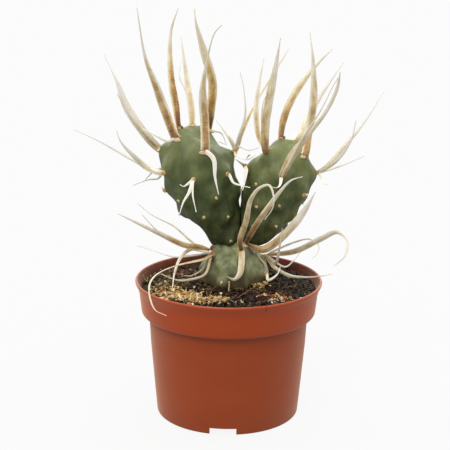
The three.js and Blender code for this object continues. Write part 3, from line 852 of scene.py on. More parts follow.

# %% [markdown]
# Fibres of root and coir lie over the crumbs. Most are short and scattered. A few long ones are listed:
# one climbs the pot's inner wall on the left, one crosses the front, and a stub of straw stands at the foot
# of the stem.

# %% Fibres
FIBRES = 230
FIBRE_SPREAD = 28
FIBRE_LENGTHS = (2.5, 9)
FIBRE_GIRTHS = (4, 9)  # times as thick as the blank
OVER_THE_CRUMBS = 0.6
FIBRE_COLOURS = [seen(120, 96, 66), seen(156, 128, 92), seen(90, 72, 54), seen(196, 172, 132)]
LONG_FIBRES = [
    ([(-48.8, 14, 75.5), (-48.3, 9, 74.5), (-47, 5, 74.3), (-45.5, 1, 74.6)], 0.5, seen(150, 128, 96)),
    ([(5, -27, 75.2), (9, -20, 75.6), (13, -13, 75.8), (18, -4, 76.6)], 0.35, seen(142, 120, 92)),
    ([(-43, -12, 74.6), (-37, -3, 75.2), (-30, 3, 75.4), (-22, 6, 75.6)], 0.3, seen(170, 150, 118)),
    ([(-12, -30, 75.4), (-6, -33, 75.2), (0, -32, 75.5), (4, -36, 74.8)], 0.3, seen(176, 156, 120)),
    ([(0.2, -10.9, 72.5), (0.1, -10.9, 75), (0.3, -10.8, 77.4), (0.1, -10.7, 79.2)], 1.1,
     seen(222, 206, 160)),
]

fibre_blanks = [fibre_blank(bend) for bend in (0.08, 0.16, -0.2)]
for blank in fibre_blanks:
    copies = []
    for _ in range(FIBRES // len(fibre_blanks)):
        x, y = draw.normal((0, 0), FIBRE_SPREAD)
        height = on_the_bed(x, y)
        length = draw.uniform(*FIBRE_LENGTHS)
        girth = draw.uniform(*FIBRE_GIRTHS)
        lean = (*draw.normal(0, 1, 2), draw.uniform(-0.12, 0.3))
        turn = turned_to(unit(np.array(lean)), draw.uniform(0, 6), (girth, girth, length))
        tint = np.array(FIBRE_COLOURS[draw.integers(len(FIBRE_COLOURS))][:3])
        if height is not None and math.hypot(x, y) + length / 2 < SOIL_EDGE:
            spot = Vector((x, y, height + OVER_THE_CRUMBS))
            copies.append((np.column_stack([turn, spot]), tint))
    heaps.append(fuse("heap", blank, copies))


def long_fibre(route, thickness, colour):
    """A thin curve with a round section, made a mesh."""
    places = smooth_line(route, 20)
    curve = bpy.data.curves.new("fibre", "CURVE")
    curve.dimensions = "3D"
    curve.bevel_depth = thickness / 2 * MM
    curve.bevel_resolution = 1
    curve.use_fill_caps = True
    line = curve.splines.new("POLY")
    line.points.add(len(places) - 1)
    for point, spot in zip(line.points, places):
        point.co = (*(spot * MM), 1)
    fibre = bpy.data.objects.new("fibre", curve)
    bpy.context.collection.objects.link(fibre)
    activate(fibre)
    bpy.ops.object.convert(target="MESH")
    mark(fibre, "tint", np.tile(colour[:3], (len(fibre.data.vertices), 1)))
    return fibre


heaps += [long_fibre(*one) for one in LONG_FIBRES]
bits = join_as("soil_bits", heaps)
for blank in crumb_blanks + flake_blanks + fibre_blanks:
    bpy.data.objects.remove(blank)
tell(bits)

# %% [markdown]
# Peat is almost black when damp and brown where it has dried, with a dull surface. The bed and the bits
# wear nearly the same recipe, but each bit brings its own tint.

# %% Peat and bits
GRAIN_SHADE = (0.62, 0.58, 0.52, 1)


def earth(name, tinted):
    material, net, shader = finish_of(name)
    place = net.places()
    grain = net.noise(place, 1500.0, detail=6.0, roughness=0.7)
    if tinted:
        colour = net.marked("tint", "Color")
        darker = net.blend(1.0, colour, GRAIN_SHADE, "MULTIPLY")
        colour = net.blend(net.span(grain, 0.35, 0.7), darker, colour)
    else:
        colour = net.effect(MOTTLING, {
            "Place": place, "Base": PEAT_BLACK, "Patch": PEAT_BROWN, "Scale": 700.0, "Amount": 0.8})
        specks = net.span(net.cells(place, 900.0), 0.0, 0.22, 1.0, 0.0)
        colour = net.blend(net.sum("MULTIPLY", specks, 0.5), colour, PEAT_DRY)
    net.feed(shader.inputs, {
        "Base Color": colour,
        "Roughness": net.span(grain, 0.2, 0.8, 0.95, 0.75),
        "Normal": net.bump(grain, 0.6, 0.25),
        "Specular IOR Level": 0.15,
    })
    return material


for piece, material in ((bed, earth("damp peat", False)), (bits, earth("crumbs and husks", True))):
    wear(piece, material)
    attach(piece, "root")
    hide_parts("soil")
print("peat colours:", len(PEAT), "gold:", len(GOLD))

# %% [markdown]
# ## The segments of the stem
# Each segment is round about a leaning axis, with a soft swelling, a tubercle, under every areole. An
# areole is given by "up", the share of the way along the skin from the foot to the tip, and by "turn", the
# degrees round the axis: 0 right, 90 back, 180 left, 270 front. A hollow, where the skin has shrunk, is
# given by its place, its depth and its reach, and a negative depth is a bulge. A spine is given by its
# kind, its greatest width, and the places that it passes after its root, up to its tip. "lean" moves its
# brown middle to one side, and "taper" says from which share of its length it narrows, from which share
# it is a thin tail, and how thin that tail is. "wool" is the half width of an unusually big tuft. "side"
# says on which side of the crevice a segment stands, "rise" how far its tubercles stand out, "streaks" how
# high, how wide and how long the streaks in its skin are, and "lumps" the size and height of its lumps.


# %% Words for areoles and spines
def spine(kind, width, *route, lean=0.0, taper=None):
    return {"kind": kind, "width": width, "route": route, "lean": lean, "taper": taper}


def areole(up, turn, *spines, wool=0.0):
    return {"up": up, "turn": math.radians(turn), "spines": spines, "wool": wool}


def bare(*spots):
    """Areoles that have no spine."""
    return [areole(up, turn) for up, turn in spots]


def hollow(up, turn, depth, reach):
    return {"up": up, "turn": math.radians(turn), "depth": depth, "reach": reach}


# %% [markdown]
# The oldest segment is a squat cone, widest just above the soil. Its profile, like the others', is a row
# of stations: the way along its axis and the radius there. Its spines have weathered, and several trail
# over the soil and over the lip. A cone with two radii would be shorter to write, but the photograph shows
# the outline well, so it is followed from station to station.

# %% The base segment
BASE = {
    "foot": (3, 9, 60),
    "tip": (3, 8, 98),
    "side": 0,
    "rise": 2.2,
    "streaks": (1.3, 3, 10),
    "lumps": (7, 0.9),
    "profile": [(0, 0), (0.1, 8), (8, 12), (12, 16.6), (16, 18.1), (20, 18), (24, 16.6), (28, 13.8),
                (31.5, 11.2), (34.5, 9.2), (36.8, 6), (38, 0)],
    "hollows": [],
    "areoles": [
        areole(
            0.74, 217,
            spine("grey", 1.3, (-21, 6, 97), (-31, 9, 105), (-44, 12, 111), (-52, 14, 117)),
            spine("grey", 1.4, (-24, 2, 95), (-39, -6, 106), (-48, -11, 117)),
            spine("aged", 3.6, (-14, -3, 90), (-25, -6, 88), (-34, -10, 86), (-41, -19, 84),
                  (-43, -29, 81.5), (-42, -37, 77), (-39, -41, 72), (-33, -44, 70),
                  taper=(0.1, 0.42, 0.24)),
            spine("straw", 2.2, (-15, 2, 94), (-22, 4, 93), (-27, 2, 89), (-30, -4, 83), (-31, -16, 77)),
            spine("white", 1.1, (-19, 10, 88), (-30, 16, 85), (-42, 30, 84), (-54, 36, 86)),
            spine("aged", 1.2, (-13, -6, 82), (-19, -4, 78.5), (-28, -6, 78), (-38, -1, 80)),
            spine("aged", 1.1, (-15, 2, 82), (-21, 0, 79), (-25, 1, 78.5)),
            wool=3.6,
        ),
        areole(
            0.8, 285,
            spine("dark root", 3.4, (6, -8, 102), (9, -13, 114), (11.5, -18, 128), (16, -21, 135),
                  (21, -23, 137), (23.5, -24, 131), (23, -22, 124), (19, -19, 117)),
            spine("aged", 3.4, (7, -9, 90), (6, -12, 84), (3, -13, 81), (-1, -14, 83)),
        ),
        areole(
            0.65, 5,
            spine("veil", 3.2, (37, 9, 91), (51, 3, 100), (60, -3, 106), (65, -8, 103), (64, -11, 95),
                  (58, -12, 89), taper=(0.5, 0.85, 0.42)),
            spine("grey", 1.2, (37, 14, 95), (46, 14, 97), (51, 12, 94), (50, 9, 90), (47, 6, 88)),
            spine("white", 1.1, (32, 9, 82), (37, 12, 85), (41, 18, 88)),
            spine("straw", 2.2, (26, 4, 83), (34, 4, 78.5), (45, -1, 79), (52, -3, 80.5), (58, -4, 82)),
            spine("straw", 1.8, (26, 2, 86), (28, -6, 98), (29, -11, 110)),
        ),
        areole(
            0.55, 330,
            spine("straw", 1.6, (20, -6, 88), (17, -8, 92), (16, -9, 94)),
            spine("straw", 1.4, (22, -7, 79), (27, -3, 81), (29, 2, 84)),
        ),
        areole(
            0.8, 205,
            spine("umber", 3.2, (-10, 0, 93.5), (-16, 0, 95.5), (-25, -1, 97), (-38, -4, 104),
                  (-61, -10, 117)),
            wool=1.1,
        ),
        areole(
            0.86, 310,
            spine("umber", 3.2, (14, -9, 110), (20, -14, 121), (27, -17, 132), (33, -19, 139),
                  (39, -19, 141)),
            spine("shaded", 4.4, (18, -2, 95), (24, -3, 98), (33, -4, 107), (41, -5, 118),
                  (47, -7, 130)),
        ),
        areole(0.68, 60, spine("tan", 2.6, (14, 31, 92), (20, 40, 98), (25, 46, 108))),
        areole(0.7, 115, spine("cream", 3, (-2, 30, 92), (-5, 39, 98), (-7, 47, 99))),
        *bare((0.5, 90), (0.52, 250), (0.52, 160)),
    ],
}
print("base segment:", len(BASE["areoles"]), "areoles")

# %% [markdown]
# The left segment is an egg that leans left. Its top has shrunk on the right, and low down it bulges
# towards its neighbour. The areoles that the photograph shows come first. The last nine are on the back,
# where they and their spines are guessed.

# %% The left segment
LEFT = {
    "foot": (-2, 11, 92.6),
    "tip": (-25.6, 9, 162.4),
    "side": -1,
    "rise": 2.6,
    "streaks": (0.55, 5.5, 26),
    "lumps": (9, 0.45),
    "profile": [(0, 0), (0.6, 3.3), (4, 7.1), (10, 10.6), (20, 14.2), (30, 17.1), (40, 18.7), (48, 19.4),
                (56, 19), (61.3, 17.2), (65.8, 13.4), (69.8, 8.1), (72.5, 3.6), (73.7, 0)],
    "hollows": [hollow(0.8, 8, 6.5, 10), hollow(0.93, 345, 2.4, 9), hollow(0.7, 335, 2.6, 7),
                hollow(0.22, 180, 3.8, 9), hollow(0.15, 355, -5, 9)],
    "areoles": [
        areole(
            0.879, 243,
            spine("brown", 4.8, (-36, 1, 173), (-40, -1, 185), (-46, -4, 202), (-50, -9, 229),
                  lean=-0.15, taper=(0.25, 0.82, 0.18)),
            spine("white", 1.4, (-34, -1, 156), (-41, 0, 159), (-48, 3, 162), taper=(0.3, 1.0, 0.7)),
        ),
        areole(
            0.97, 240,
            spine("amber", 3.8, (-30, 11, 172), (-33, 13, 190), (-33, 13, 214), (-29, 10, 227),
                  lean=0.3),
        ),
        areole(
            0.896, 63,
            spine("gold", 3.8, (-22, 21, 171), (-25, 25, 189), (-28, 26, 210)),
            spine("grey", 1.1, (-25, 24, 179), (-29, 28, 188), (-27, 30, 198)),
        ),
        areole(
            0.742, 294,
            spine("fawn", 4.8, (-14, -9, 169), (-15, -12, 185), (-13, -15, 201), (-9, -19, 217),
                  (-5, -22, 222), lean=0.1, taper=(0.3, 0.8, 0.15)),
            spine("white", 2.5, (-9, -13, 149), (-8, -15, 139), (-6, -16, 130)),
        ),
        areole(
            0.784, 44,
            spine("bellied", 4.8, (-11, 14, 171), (-10, 10, 186), (-15, 5, 205), (-19, 1, 220),
                  (-20, 0, 228)),
        ),
        areole(
            0.797, 177,
            spine("cream", 4.8, (-49, 6, 161), (-57, 4, 174), (-62, 3, 188), (-69, 6, 202),
                  lean=-0.2, taper=(0.42, 0.92, 0.14)),
            spine("gold", 2.4, (-46, 4, 157), (-54, -3, 169), (-61, -8, 183)),
        ),
        areole(
            0.683, 215,
            spine("gold", 3.4, (-46, 4, 140), (-53, 1, 147), (-60, -2, 156), (-62, -3, 162)),
            spine("white", 1.9, (-49, 7, 141), (-61, 9, 147), (-71, 8, 153), (-86, 4, 161)),
            spine("white", 1.2, (-40, 3, 134), (-45, 0, 134), (-53, -5, 132)),
        ),
        areole(
            0.611, 262,
            spine("cream", 1.8, (-23, -14, 135), (-25, -15, 134), (-27, -15, 135)),
            spine("white", 1.8, (-22, -16, 131), (-25, -18, 126), (-27, -20, 120)),
            spine("white", 1.1, (-20, -17, 130), (-18, -20, 121)),
        ),
        areole(
            0.645, 9,
            spine("cream", 2.2, (0, 11, 155), (-3, 12, 159), (-8, 14, 165)),
            spine("tan", 3.2, (6, 11, 158), (14, 16, 175), (22, 20, 188), (32, 24, 204),
                  taper=(0.02, 0.5, 0.45)),
            spine("cream", 1.6, (5, 6, 158), (8, 3, 170), (7, 1, 185), (5, 0, 194)),
            spine("tan", 2, (4, 3, 147), (9, -1, 146), (14, -6, 150)),
            spine("grey", 1.2, (5, 6, 152), (10, 1, 151), (16, -6, 154)),
        ),
        areole(0.566, 316, spine("white", 1.4, (2, -9, 135), (6, -11, 134), (11, -12, 133))),
        areole(0.562, 189, spine("white", 1.2, (-38, 5, 129))),
        *bare((0.458, 286), (0.42, 345), (0.5, 226), (0.367, 258), (0.311, 299), (0.369, 170)),
        *bare((0.143, 289)),
        areole(0.83, 55, spine("white", 1.2, (-10, 25, 157), (-5, 28, 155), (-2, 29, 148))),
        areole(
            0.78, 112,
            spine("brown", 3.4, (-31, 31, 149), (-33, 38, 152), (-34, 46, 149), (-34, 51, 141)),
            spine("grey", 1.4, (-28, 33, 146), (-30, 39, 139)),
        ),
        areole(0.68, 66, spine("cream", 3.2, (-12, 32, 146), (-8, 40, 148), (-3, 47, 145))),
        areole(0.6, 140, spine("tan", 2.2, (-36, 27, 134), (-44, 34, 131), (-50, 38, 124))),
        areole(0.52, 95, spine("white", 1.6, (-17, 32, 130), (-18, 37, 126), (-20, 39, 120))),
        *bare((0.5, 40), (0.38, 130), (0.35, 65), (0.22, 110)),
    ],
}
print("left segment:", len(LEFT["areoles"]), "areoles")

# %% [markdown]
# The right segment is smaller and leans right. It has shrunk in three places down its outer side, and
# bulges on the side of the crevice. Again the areoles on the back, which are guessed, come last.

# %% The right segment
RIGHT = {
    "foot": (15.2, 11, 92.6),
    "tip": (35.2, 9, 153.7),
    "side": 1,
    "rise": 2.6,
    "streaks": (0.55, 5.5, 26),
    "lumps": (9, 0.45),
    "profile": [(0, 0), (0.6, 3.9), (4.1, 8.7), (10.1, 11.7), (18.2, 13.8), (27.4, 15.8), (36.5, 17.2),
                (42.6, 17.5), (48.6, 16.7), (53.7, 14.2), (58.3, 11.6), (61.8, 8.2), (63.6, 4.9),
                (64.3, 0)],
    "hollows": [hollow(0.12, 0, 3.8, 10), hollow(0.27, 0, 3.7, 9), hollow(0.43, 0, 5, 8),
                hollow(0.93, 120, 1.5, 8), hollow(0.2, 185, -4.5, 9), hollow(0.46, 182, -2.4, 9)],
    "areoles": [
        areole(
            0.784, 212,
            spine("beige", 4.4, (19, -1, 163), (21, -3, 181), (24, -6, 199), (26, -9, 214),
                  lean=-0.35, taper=(0.5, 1.0, 0.2)),
            spine("veil", 3, (16, 5, 157), (14, 7, 172), (16, 8, 190), (18, 8, 201)),
            spine("grey", 1.2, (17, 1, 168), (18, -2, 179), (20, -3, 184)),
            wool=2.1,
        ),
        areole(
            0.916, 159,
            spine("honey", 4, (30, 13, 168), (37, 15, 183), (47, 17, 196), (56, 18, 205),
                  lean=0.25, taper=(0.5, 1.0, 0.2)),
        ),
        areole(0.957, 55, spine("cream", 3.8, (42, 19, 163), (50, 24, 177), (63, 28, 196))),
        areole(
            0.856, 302,
            spine("dun", 4.2, (43, 3, 161), (45, 1, 179), (44, -1, 201), (42, -1, 216),
                  lean=0.25, taper=(0.45, 1.0, 0.15)),
        ),
        areole(
            0.68, 264,
            spine("lattice", 4.6, (33, -15, 151), (41, -21, 164), (50, -27, 178), (55, -31, 191),
                  (56, -34, 200)),
            spine("straw", 1.2, (37, -20, 160), (47, -26, 178), (52, -30, 190), (55, -34, 197)),
            spine("white", 1.8, (27, -14, 135), (25, -16, 134), (22, -17, 135)),
            wool=1.1,
        ),
        areole(
            0.733, 360,
            spine("cream", 2.6, (54, 8, 141), (65, 9, 154), (76, 12, 168), (85, 16, 182)),
            spine("cream", 1.8, (59, 4, 145), (66, 0, 157), (68, -4, 169)),
            spine("white", 1.1, (53, 13, 137), (65, 18, 140), (76, 22, 144)),
            spine("white", 1.6, (51, 6, 134), (52, 3, 132), (54, 1, 132)),
        ),
        areole(
            0.623, 178,
            spine("tan", 2, (7, 6, 142), (3, 1, 146)),
            spine("cream", 2.4, (9, 2, 139), (8, -3, 133), (7, -6, 130)),
        ),
        *bare((0.575, 227)),
        areole(0.609, 313, spine("cream", 1.1, (43, -5, 128), (43, -7, 126))),
        *bare((0.434, 240), (0.499, 277), (0.35, 285), (0.291, 244), (0.431, 328), (0.5, 0), (0.3, 350)),
        areole(0.8, 95, spine("cream", 3.4, (34, 30, 150), (38, 38, 153), (43, 45, 151), (47, 50, 144))),
        areole(
            0.68, 130,
            spine("cream", 2.6, (16, 30, 140), (12, 38, 141), (9, 45, 136)),
            spine("white", 1.4, (19, 31, 136), (18, 37, 130)),
        ),
        areole(0.66, 50, spine("tan", 2.8, (43, 28, 135), (46, 34, 137), (47, 39, 133), (47, 42, 126))),
        areole(0.5, 90, spine("white", 1.6, (29, 31, 125), (31, 37, 121), (32, 40, 115))),
        *bare((0.45, 40), (0.42, 140), (0.28, 70), (0.2, 120)),
    ],
}
SEGMENTS = {"base": BASE, "left": LEFT, "right": RIGHT}
print("right segment:", len(RIGHT["areoles"]), "areoles")


# %% [markdown]
# The body is pulled up ring by ring about the Z axis and then leaned over, which is easier than working on
# a slanted axis. Each tubercle is drawn out of the finished skin with proportional editing: one vertex is
# selected and moved, and its neighbours follow less and less, as when a sculptor pulls clay. The two upper
# segments press against each other on a plane, where both are flattened.


# %% Growing the skins
SKIN_RINGS = 104
SKIN_SIDES = 112
TUBERCLE_REACH = 9
BELL_TO_PULL = 1.73  # a soft pull of this many times the reach has the shape of a hollow's bell curve
MEETING_X = 6.3  # the plane on which the two upper segments press


def leaning(segment):
    """The matrix that takes the Z axis to a segment's own axis, and the origin to its foot."""
    foot = Vector(segment["foot"]) * MM
    axis = (Vector(segment["tip"]) * MM - foot).normalized()
    right = Vector((axis.z, 0, -axis.x)).normalized()
    turned = Matrix((right, axis.cross(right), axis)).transposed().to_4x4()
    return Matrix.Translation(foot) @ turned


def grow_skin(name, segment):
    """The body of a segment, its areoles' vertices, and the directions out of the skin there."""
    line = smooth_line([(radius, along) for along, radius in segment["profile"]], SKIN_RINGS + 1)
    line[:, 0] = np.maximum(line[:, 0], 0)
    skin = ring_up(name, line[1:].tolist(), SKIN_SIDES, "POINT")
    lean = leaning(segment)
    skin.data.transform(lean)
    points = points_of(skin)
    slopes = np.gradient(line, axis=0)

    def find(one):
        """The vertex nearest to a place on the skin, and the direction out of the skin there."""
        station = [np.interp(one["up"] * SKIN_RINGS, np.arange(SKIN_RINGS + 1), column)
                   for column in (*line.T, *slopes.T)]
        radius, along, outwards, upwards = station
        around = Vector((math.cos(one["turn"]), math.sin(one["turn"]), 0))
        spot = lean @ ((around * radius + Vector((0, 0, along))) * MM) / MM
        normal = lean.to_3x3() @ (around * upwards - Vector((0, 0, outwards)))
        return int(np.argmin(np.linalg.norm(points - np.array(spot), axis=1))), normal.normalized()

    found = [find(one) for one in segment["areoles"]]
    pulls = [(*find(one), -one["depth"], BELL_TO_PULL * one["reach"]) for one in segment["hollows"]]
    pulls += [(*one, segment["rise"], TUBERCLE_REACH) for one in found]
    for vertex, normal, height, reach in pulls:
        edit(skin, np.arange(len(points)) == vertex)
        bpy.ops.transform.translate(
            value=normal * height * MM, use_proportional_edit=True,
            proportional_edit_falloff="SMOOTH", proportional_size=reach * MM,
        )
    bpy.ops.object.mode_set(mode="OBJECT")
    return skin, [vertex for vertex, _ in found], [np.array(normal) for _, normal in found]


def press(skin, side):
    """Flattens what reaches over the plane between the two upper segments."""
    plane = MEETING_X + side * GAP / 2
    edit(skin, (points_of(skin)[:, 0] - plane) * side < 0)
    bpy.ops.transform.resize(value=(0, 1, 1), center_override=(plane * MM, 0, 0))
    bpy.ops.object.mode_set(mode="OBJECT")


def streak(skin, depth, across, along):
    """Raises and sinks the skin in streaks that run up the stem."""
    points = points_of(skin)
    normals = np.array([vertex.normal for vertex in skin.data.vertices])
    squeezed = points / (across, across, along)
    height = np.array([noise.noise(Vector(place)) for place in squeezed])
    move_points(skin, points + normals * (depth * height)[:, None])


def mark_skin(skin, segment, roots):
    """Keeps how old the skin is, 0 at the foot and 1 at the tip, and the distance to an areole."""
    points = points_of(skin)
    foot, tip = np.array(segment["foot"], float), np.array(segment["tip"], float)
    axis = tip - foot
    mark(skin, "age", np.clip((points - foot) @ axis / (axis @ axis), 0, 1))
    distances = np.linalg.norm(points[:, None] - points[roots][None], axis=2)
    mark(skin, "areole", distances.min(axis=1))


grown = {}
for name, segment in SEGMENTS.items():
    skin, roots, normals = grow_skin(name + "_skin", segment)
    if segment["side"]:
        press(skin, segment["side"])
    streak(skin, *segment["streaks"])
    lumps(skin, *segment["lumps"])
    bpy.ops.object.shade_smooth()
    mark_skin(skin, segment, roots)
    areoles = list(zip(points_of(skin)[roots], normals, segment["areoles"]))
    grown[name] = {"skin": skin, "areoles": areoles}
    tell(skin)

# %% [markdown]
# Young skin is a smooth, matt blue-green to olive green. It is darker and browner in the lower half, where
# it is older, and greyer and lighter at the top; this gradient is partly painted light, with painted shade
# low down. Dark valleys between the rows of tubercles are painted shade, a brown ring round each areole is
# partly painted shade, and a pale halo round it is a painted highlight. The base segment is old: waxy,
# grey-green, with streaks up the stem, corky patches and a yellowish side. One recipe with other colours
# serves both.


# %% Skin
SHADE_SIDE = seen(48, 68, 52)
SUN_SIDE = seen(154, 142, 82)
SIDES_MEET = (-6, 14)  # the shaded side ends at the first and the sunny one starts at the second
SIDES_WANDER = 14  # how far that border wanders
SOIL_STAIN = seen(82, 68, 42)
SOIL_STAIN_HEIGHTS = (76.5, 89)
RING_BROWN = seen(96, 80, 44)
VALLEY_SHADE_TINT = (0.5, 0.55, 0.45, 1)
FLESH_RADIUS = (0.6, 1.0, 0.3)  # how far red, green and blue light wander in the flesh


def skin_of(name, top, middle, bottom, patch, mottling, streaks, valley_shade, sides, gloss):
    material, net, shader = finish_of(name)
    place = net.places()
    age = net.marked("age")
    # from foot to tip the colour runs from bottom to middle to top: partly the skin's age, partly painted
    # light, with painted shade low down and painted top light above
    wander = net.sum("ADD", age, net.span(net.noise(place, 60.0), 0.2, 0.8, -0.12, 0.12))
    colour = net.blend(net.span(wander, 0.12, 0.5), bottom, middle)
    colour = net.blend(net.span(wander, 0.55, 1.0), colour, top)
    colour = net.effect(MOTTLING, {
        "Place": place, "Base": colour, "Patch": patch, "Scale": 190.0, "Amount": mottling})
    lines = net.noise(net.scaled(place, 300, 300, 85), 1.0, detail=5.0, roughness=0.65)
    colour = net.blend(net.span(lines, 0.48, 0.7, 0.0, streaks), colour, patch)
    east, _, height = net.parts(place)
    border = net.span(net.noise(place, 90.0), 0.2, 0.8, -SIDES_WANDER * MM, SIDES_WANDER * MM)
    tint = net.blend(net.band(net.sum("ADD", east, border), SIDES_MEET), SHADE_SIDE, SUN_SIDE)
    colour = net.blend(net.span(net.noise(place, 150.0, detail=3.0), 0.4, 0.65, 0.0, sides), colour, tint)
    # dark streaks along the valleys between the rows of tubercles: painted shade
    valleys = net.noise(net.scaled(place, 120, 120, 45), 1.0, detail=3.0, roughness=0.55)
    darker = net.blend(1.0, colour, VALLEY_SHADE_TINT, "MULTIPLY")
    colour = net.blend(net.span(valleys, 0.43, 0.66, 0.0, valley_shade), colour, darker)
    near_soil = net.band(height, SOIL_STAIN_HEIGHTS, 1.0, 0.0)
    dirt = net.sum("MULTIPLY", near_soil, net.span(lines, 0.3, 0.6, 0.5, 1.0))
    colour = net.blend(dirt, colour, SOIL_STAIN)
    # round each areole the skin is painted paler, a painted highlight on the tubercle's crest, and close
    # round it a broken brown ring, partly the felt's brown edge and partly painted shade where the cushion
    # meets the skin
    areole = net.marked("areole")
    colour = net.blend(net.span(areole, 1.2, 4.5, 0.3, 0.0), colour, patch)
    ring_breakup = net.span(net.noise(place, 900.0), 0.3, 0.6, 0.2, 0.65)
    ring = net.sum("MULTIPLY", net.span(areole, 1.2, 2.2, 1.0, 0.0), ring_breakup)
    colour = net.blend(ring, colour, RING_BROWN)
    pores = net.cells(place, 1900.0)
    colour = net.blend(net.span(pores, 0.0, 0.3, 0.12, 0.0), colour, top)
    relief = net.sum("ADD", lines, net.sum("MULTIPLY", pores, 0.6))
    net.feed(shader.inputs, {
        "Base Color": net.effect(DUST, {"Place": place, "Base": colour, "Dust": patch, "Amount": 0.3}),
        "Roughness": net.span(lines, 0.3, 0.7, gloss, gloss + 0.14),
        "Normal": net.bump(relief, 0.25, 0.12),
        "Specular IOR Level": 0.35,
        "Subsurface Weight": 0.08,
        "Subsurface Radius": FLESH_RADIUS,
        "Subsurface Scale": 2 * MM,
    })
    return material


young_skin = skin_of(
    "young skin", seen(113, 119, 72), seen(70, 82, 41), seen(43, 50, 25), seen(114, 122, 77),
    mottling=0.4, streaks=0.28, valley_shade=0.75, sides=0.12, gloss=0.46,
)
old_skin = skin_of(
    "old skin", seen(72, 78, 42), seen(98, 106, 66), seen(40, 42, 20), seen(154, 161, 118),
    mottling=0.8, streaks=0.8, valley_shade=1.0, sides=0.7, gloss=0.5,
)
for name, slot, material in (("base", "old_skin", old_skin), ("left", "skin", young_skin),
                             ("right", "skin", young_skin)):
    skin = grown[name]["skin"]
    wear(skin, material)
    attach(skin, "root")
    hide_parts(name + "_segment")
print("skins:", [parts["skin"].name for parts in grown.values()])

# %% [markdown]
# ## The papery spines
# A paper spine is a thin, flat, slightly troughed blade that tapers to a point and curls as it dries. All
# of them start as one flat grid. A copy is laid along each route: its middle follows the curve, its faces
# turn to the front with a little twist, and its width narrows towards the tip. A Solidify modifier then
# gives the paper its thickness. Each kind of spine has its own outline and colours.


# %% Kinds of spine
def paper_kind(foot, taper, dry, gold, dark, margin=0.55):
    """How wide the root is, how the blade tapers, and its tone.

    "dry" is how dry the middle of the paper is at the root and at the tip: 0 is brown and horny, 1 is
    white. "margin" is how much drier the edges are, "gold" how golden the paper is, and "dark" how dark
    its root is.
    """
    return {"foot": foot, "taper": taper, "dry": dry, "gold": gold, "dark": dark, "margin": margin}


KINDS = {
    "brown": paper_kind(1.3, (0.3, 0.95, 0.2), (0.16, 0.92), gold=0.2, dark=0.35),
    "fawn": paper_kind(1.15, (0.3, 0.85, 0.18), (0.3, 0.78), gold=0.3, dark=0.15),
    "lattice": paper_kind(0.7, (0.15, 0.65, 0.42), (0.46, 0.95), gold=0.5, dark=0.5, margin=0.1),
    "beige": paper_kind(0.9, (0.35, 1.0, 0.2), (0.36, 0.85), gold=0.2, dark=0.6, margin=0.2),
    "dun": paper_kind(1.4, (0.35, 1.0, 0.2), (0.3, 0.82), gold=0.3, dark=0.3),
    "dark root": paper_kind(0.7, (0.2, 0.9, 0.2), (0.4, 0.84), gold=0.2, dark=1.1, margin=0.15),
    "umber": paper_kind(0.68, (0.4, 1.0, 0.3), (0.14, 0.84), gold=0.2, dark=0.9, margin=0.35),
    "shaded": paper_kind(0.25, (0.65, 1.0, 0.3), (0.22, 0.92), gold=0.25, dark=1.0, margin=0.2),
    "aged": paper_kind(0.9, (0.5, 1.0, 0.3), (0.5, 0.7), gold=0.1, dark=0.5, margin=0.15),
    "honey": paper_kind(0.68, (0.3, 1.0, 0.26), (0.3, 0.84), gold=0.4, dark=0.35, margin=0.35),
    "amber": paper_kind(0.68, (0.3, 1.0, 0.26), (0.06, 0.9), gold=0.6, dark=0.9),
    "bellied": paper_kind(0.45, (0.55, 1.05, 0.12), (0.1, 0.86), gold=0.8, dark=0.3),
    "veil": paper_kind(0.45, (0.45, 1.0, 0.15), (0.4, 0.92), gold=0.2, dark=0.5),
    "gold": paper_kind(0.8, (0.25, 1.05, 0.15), (0.5, 1.0), gold=0.4, dark=0.1),
    "tan": paper_kind(0.9, (0.2, 1.0, 0.2), (0.36, 0.88), gold=0.2, dark=0.4),
    "straw": paper_kind(0.95, (0.25, 1.0, 0.2), (0.62, 1.0), gold=0.85, dark=0.3),
    "cream": paper_kind(0.95, (0.25, 1.0, 0.15), (0.68, 1.05), gold=0.2, dark=0.3, margin=0.25),
    "white": paper_kind(0.9, (0.25, 1.0, 0.2), (0.82, 1.0), gold=0.0, dark=0.1),
    "grey": paper_kind(0.9, (0.25, 1.0, 0.3), (0.6, 0.86), gold=0.0, dark=0.3),
}
SPINE_COLUMNS = 8
SPINE_ROWS = 48
SPINE_THICKNESS = 0.28
TIP_WIDTH = 0.34
FLARED_FOOT = 0.07  # over this share of its length a wide root narrows to the blade
NARROW_FOOT = 0.25  # over this share a narrow root widens to the blade
DRYING_AT = (0, 0.25, 0.5, 0.7, 1)  # how the paper dries from the root, 0, to the tip, 1
DRYING = (0, 0.22, 0.5, 0.85, 1)
ROOT_DEPTH = 2.2
ROOT_RISE = 0.8
TOWARDS_VIEWER = 0.75
WIDE = 3.2  # a spine as wide as this twists least
THIN = 0.8  # and one as thin as this twists most
WIDE_TWIST = 4  # degrees
THIN_TWIST = 34
TWIST_STEP = 22  # length over which the twist wanders
WAVER = 0.06  # how much the edges waver, as a share of the width
WAVER_STEP = 5
BLUNTNESS = 14  # the higher, the later the very tip is cut back
TROUGH = 0.13  # depth of the trough, as a share of the blade's width
MIDRIB = 0.05  # height of the rib in its middle, likewise
MIDRIB_WIDTH = 0.3  # as a share of the half width
RIPPLE = 0.2
RIPPLE_STEP = 7
SPINE_SHARPNESS = 40  # degrees: edges that turn less look smooth
draw = np.random.default_rng(23)


# %% [markdown]
# A spine's frame of reference at each row is three directions: along the curve, across the blade and out of
# its face. The blade's edges waver a little, its middle is lower than its edges, and it swings about its
# own line from the root to the tip. The outline, the marks for the material and the laying are a function
# each.


# %% Laying a spine along its route
def noise_along(values, step, seed):
    return np.array([noise.noise(Vector((value / step, seed, 0))) for value in values])


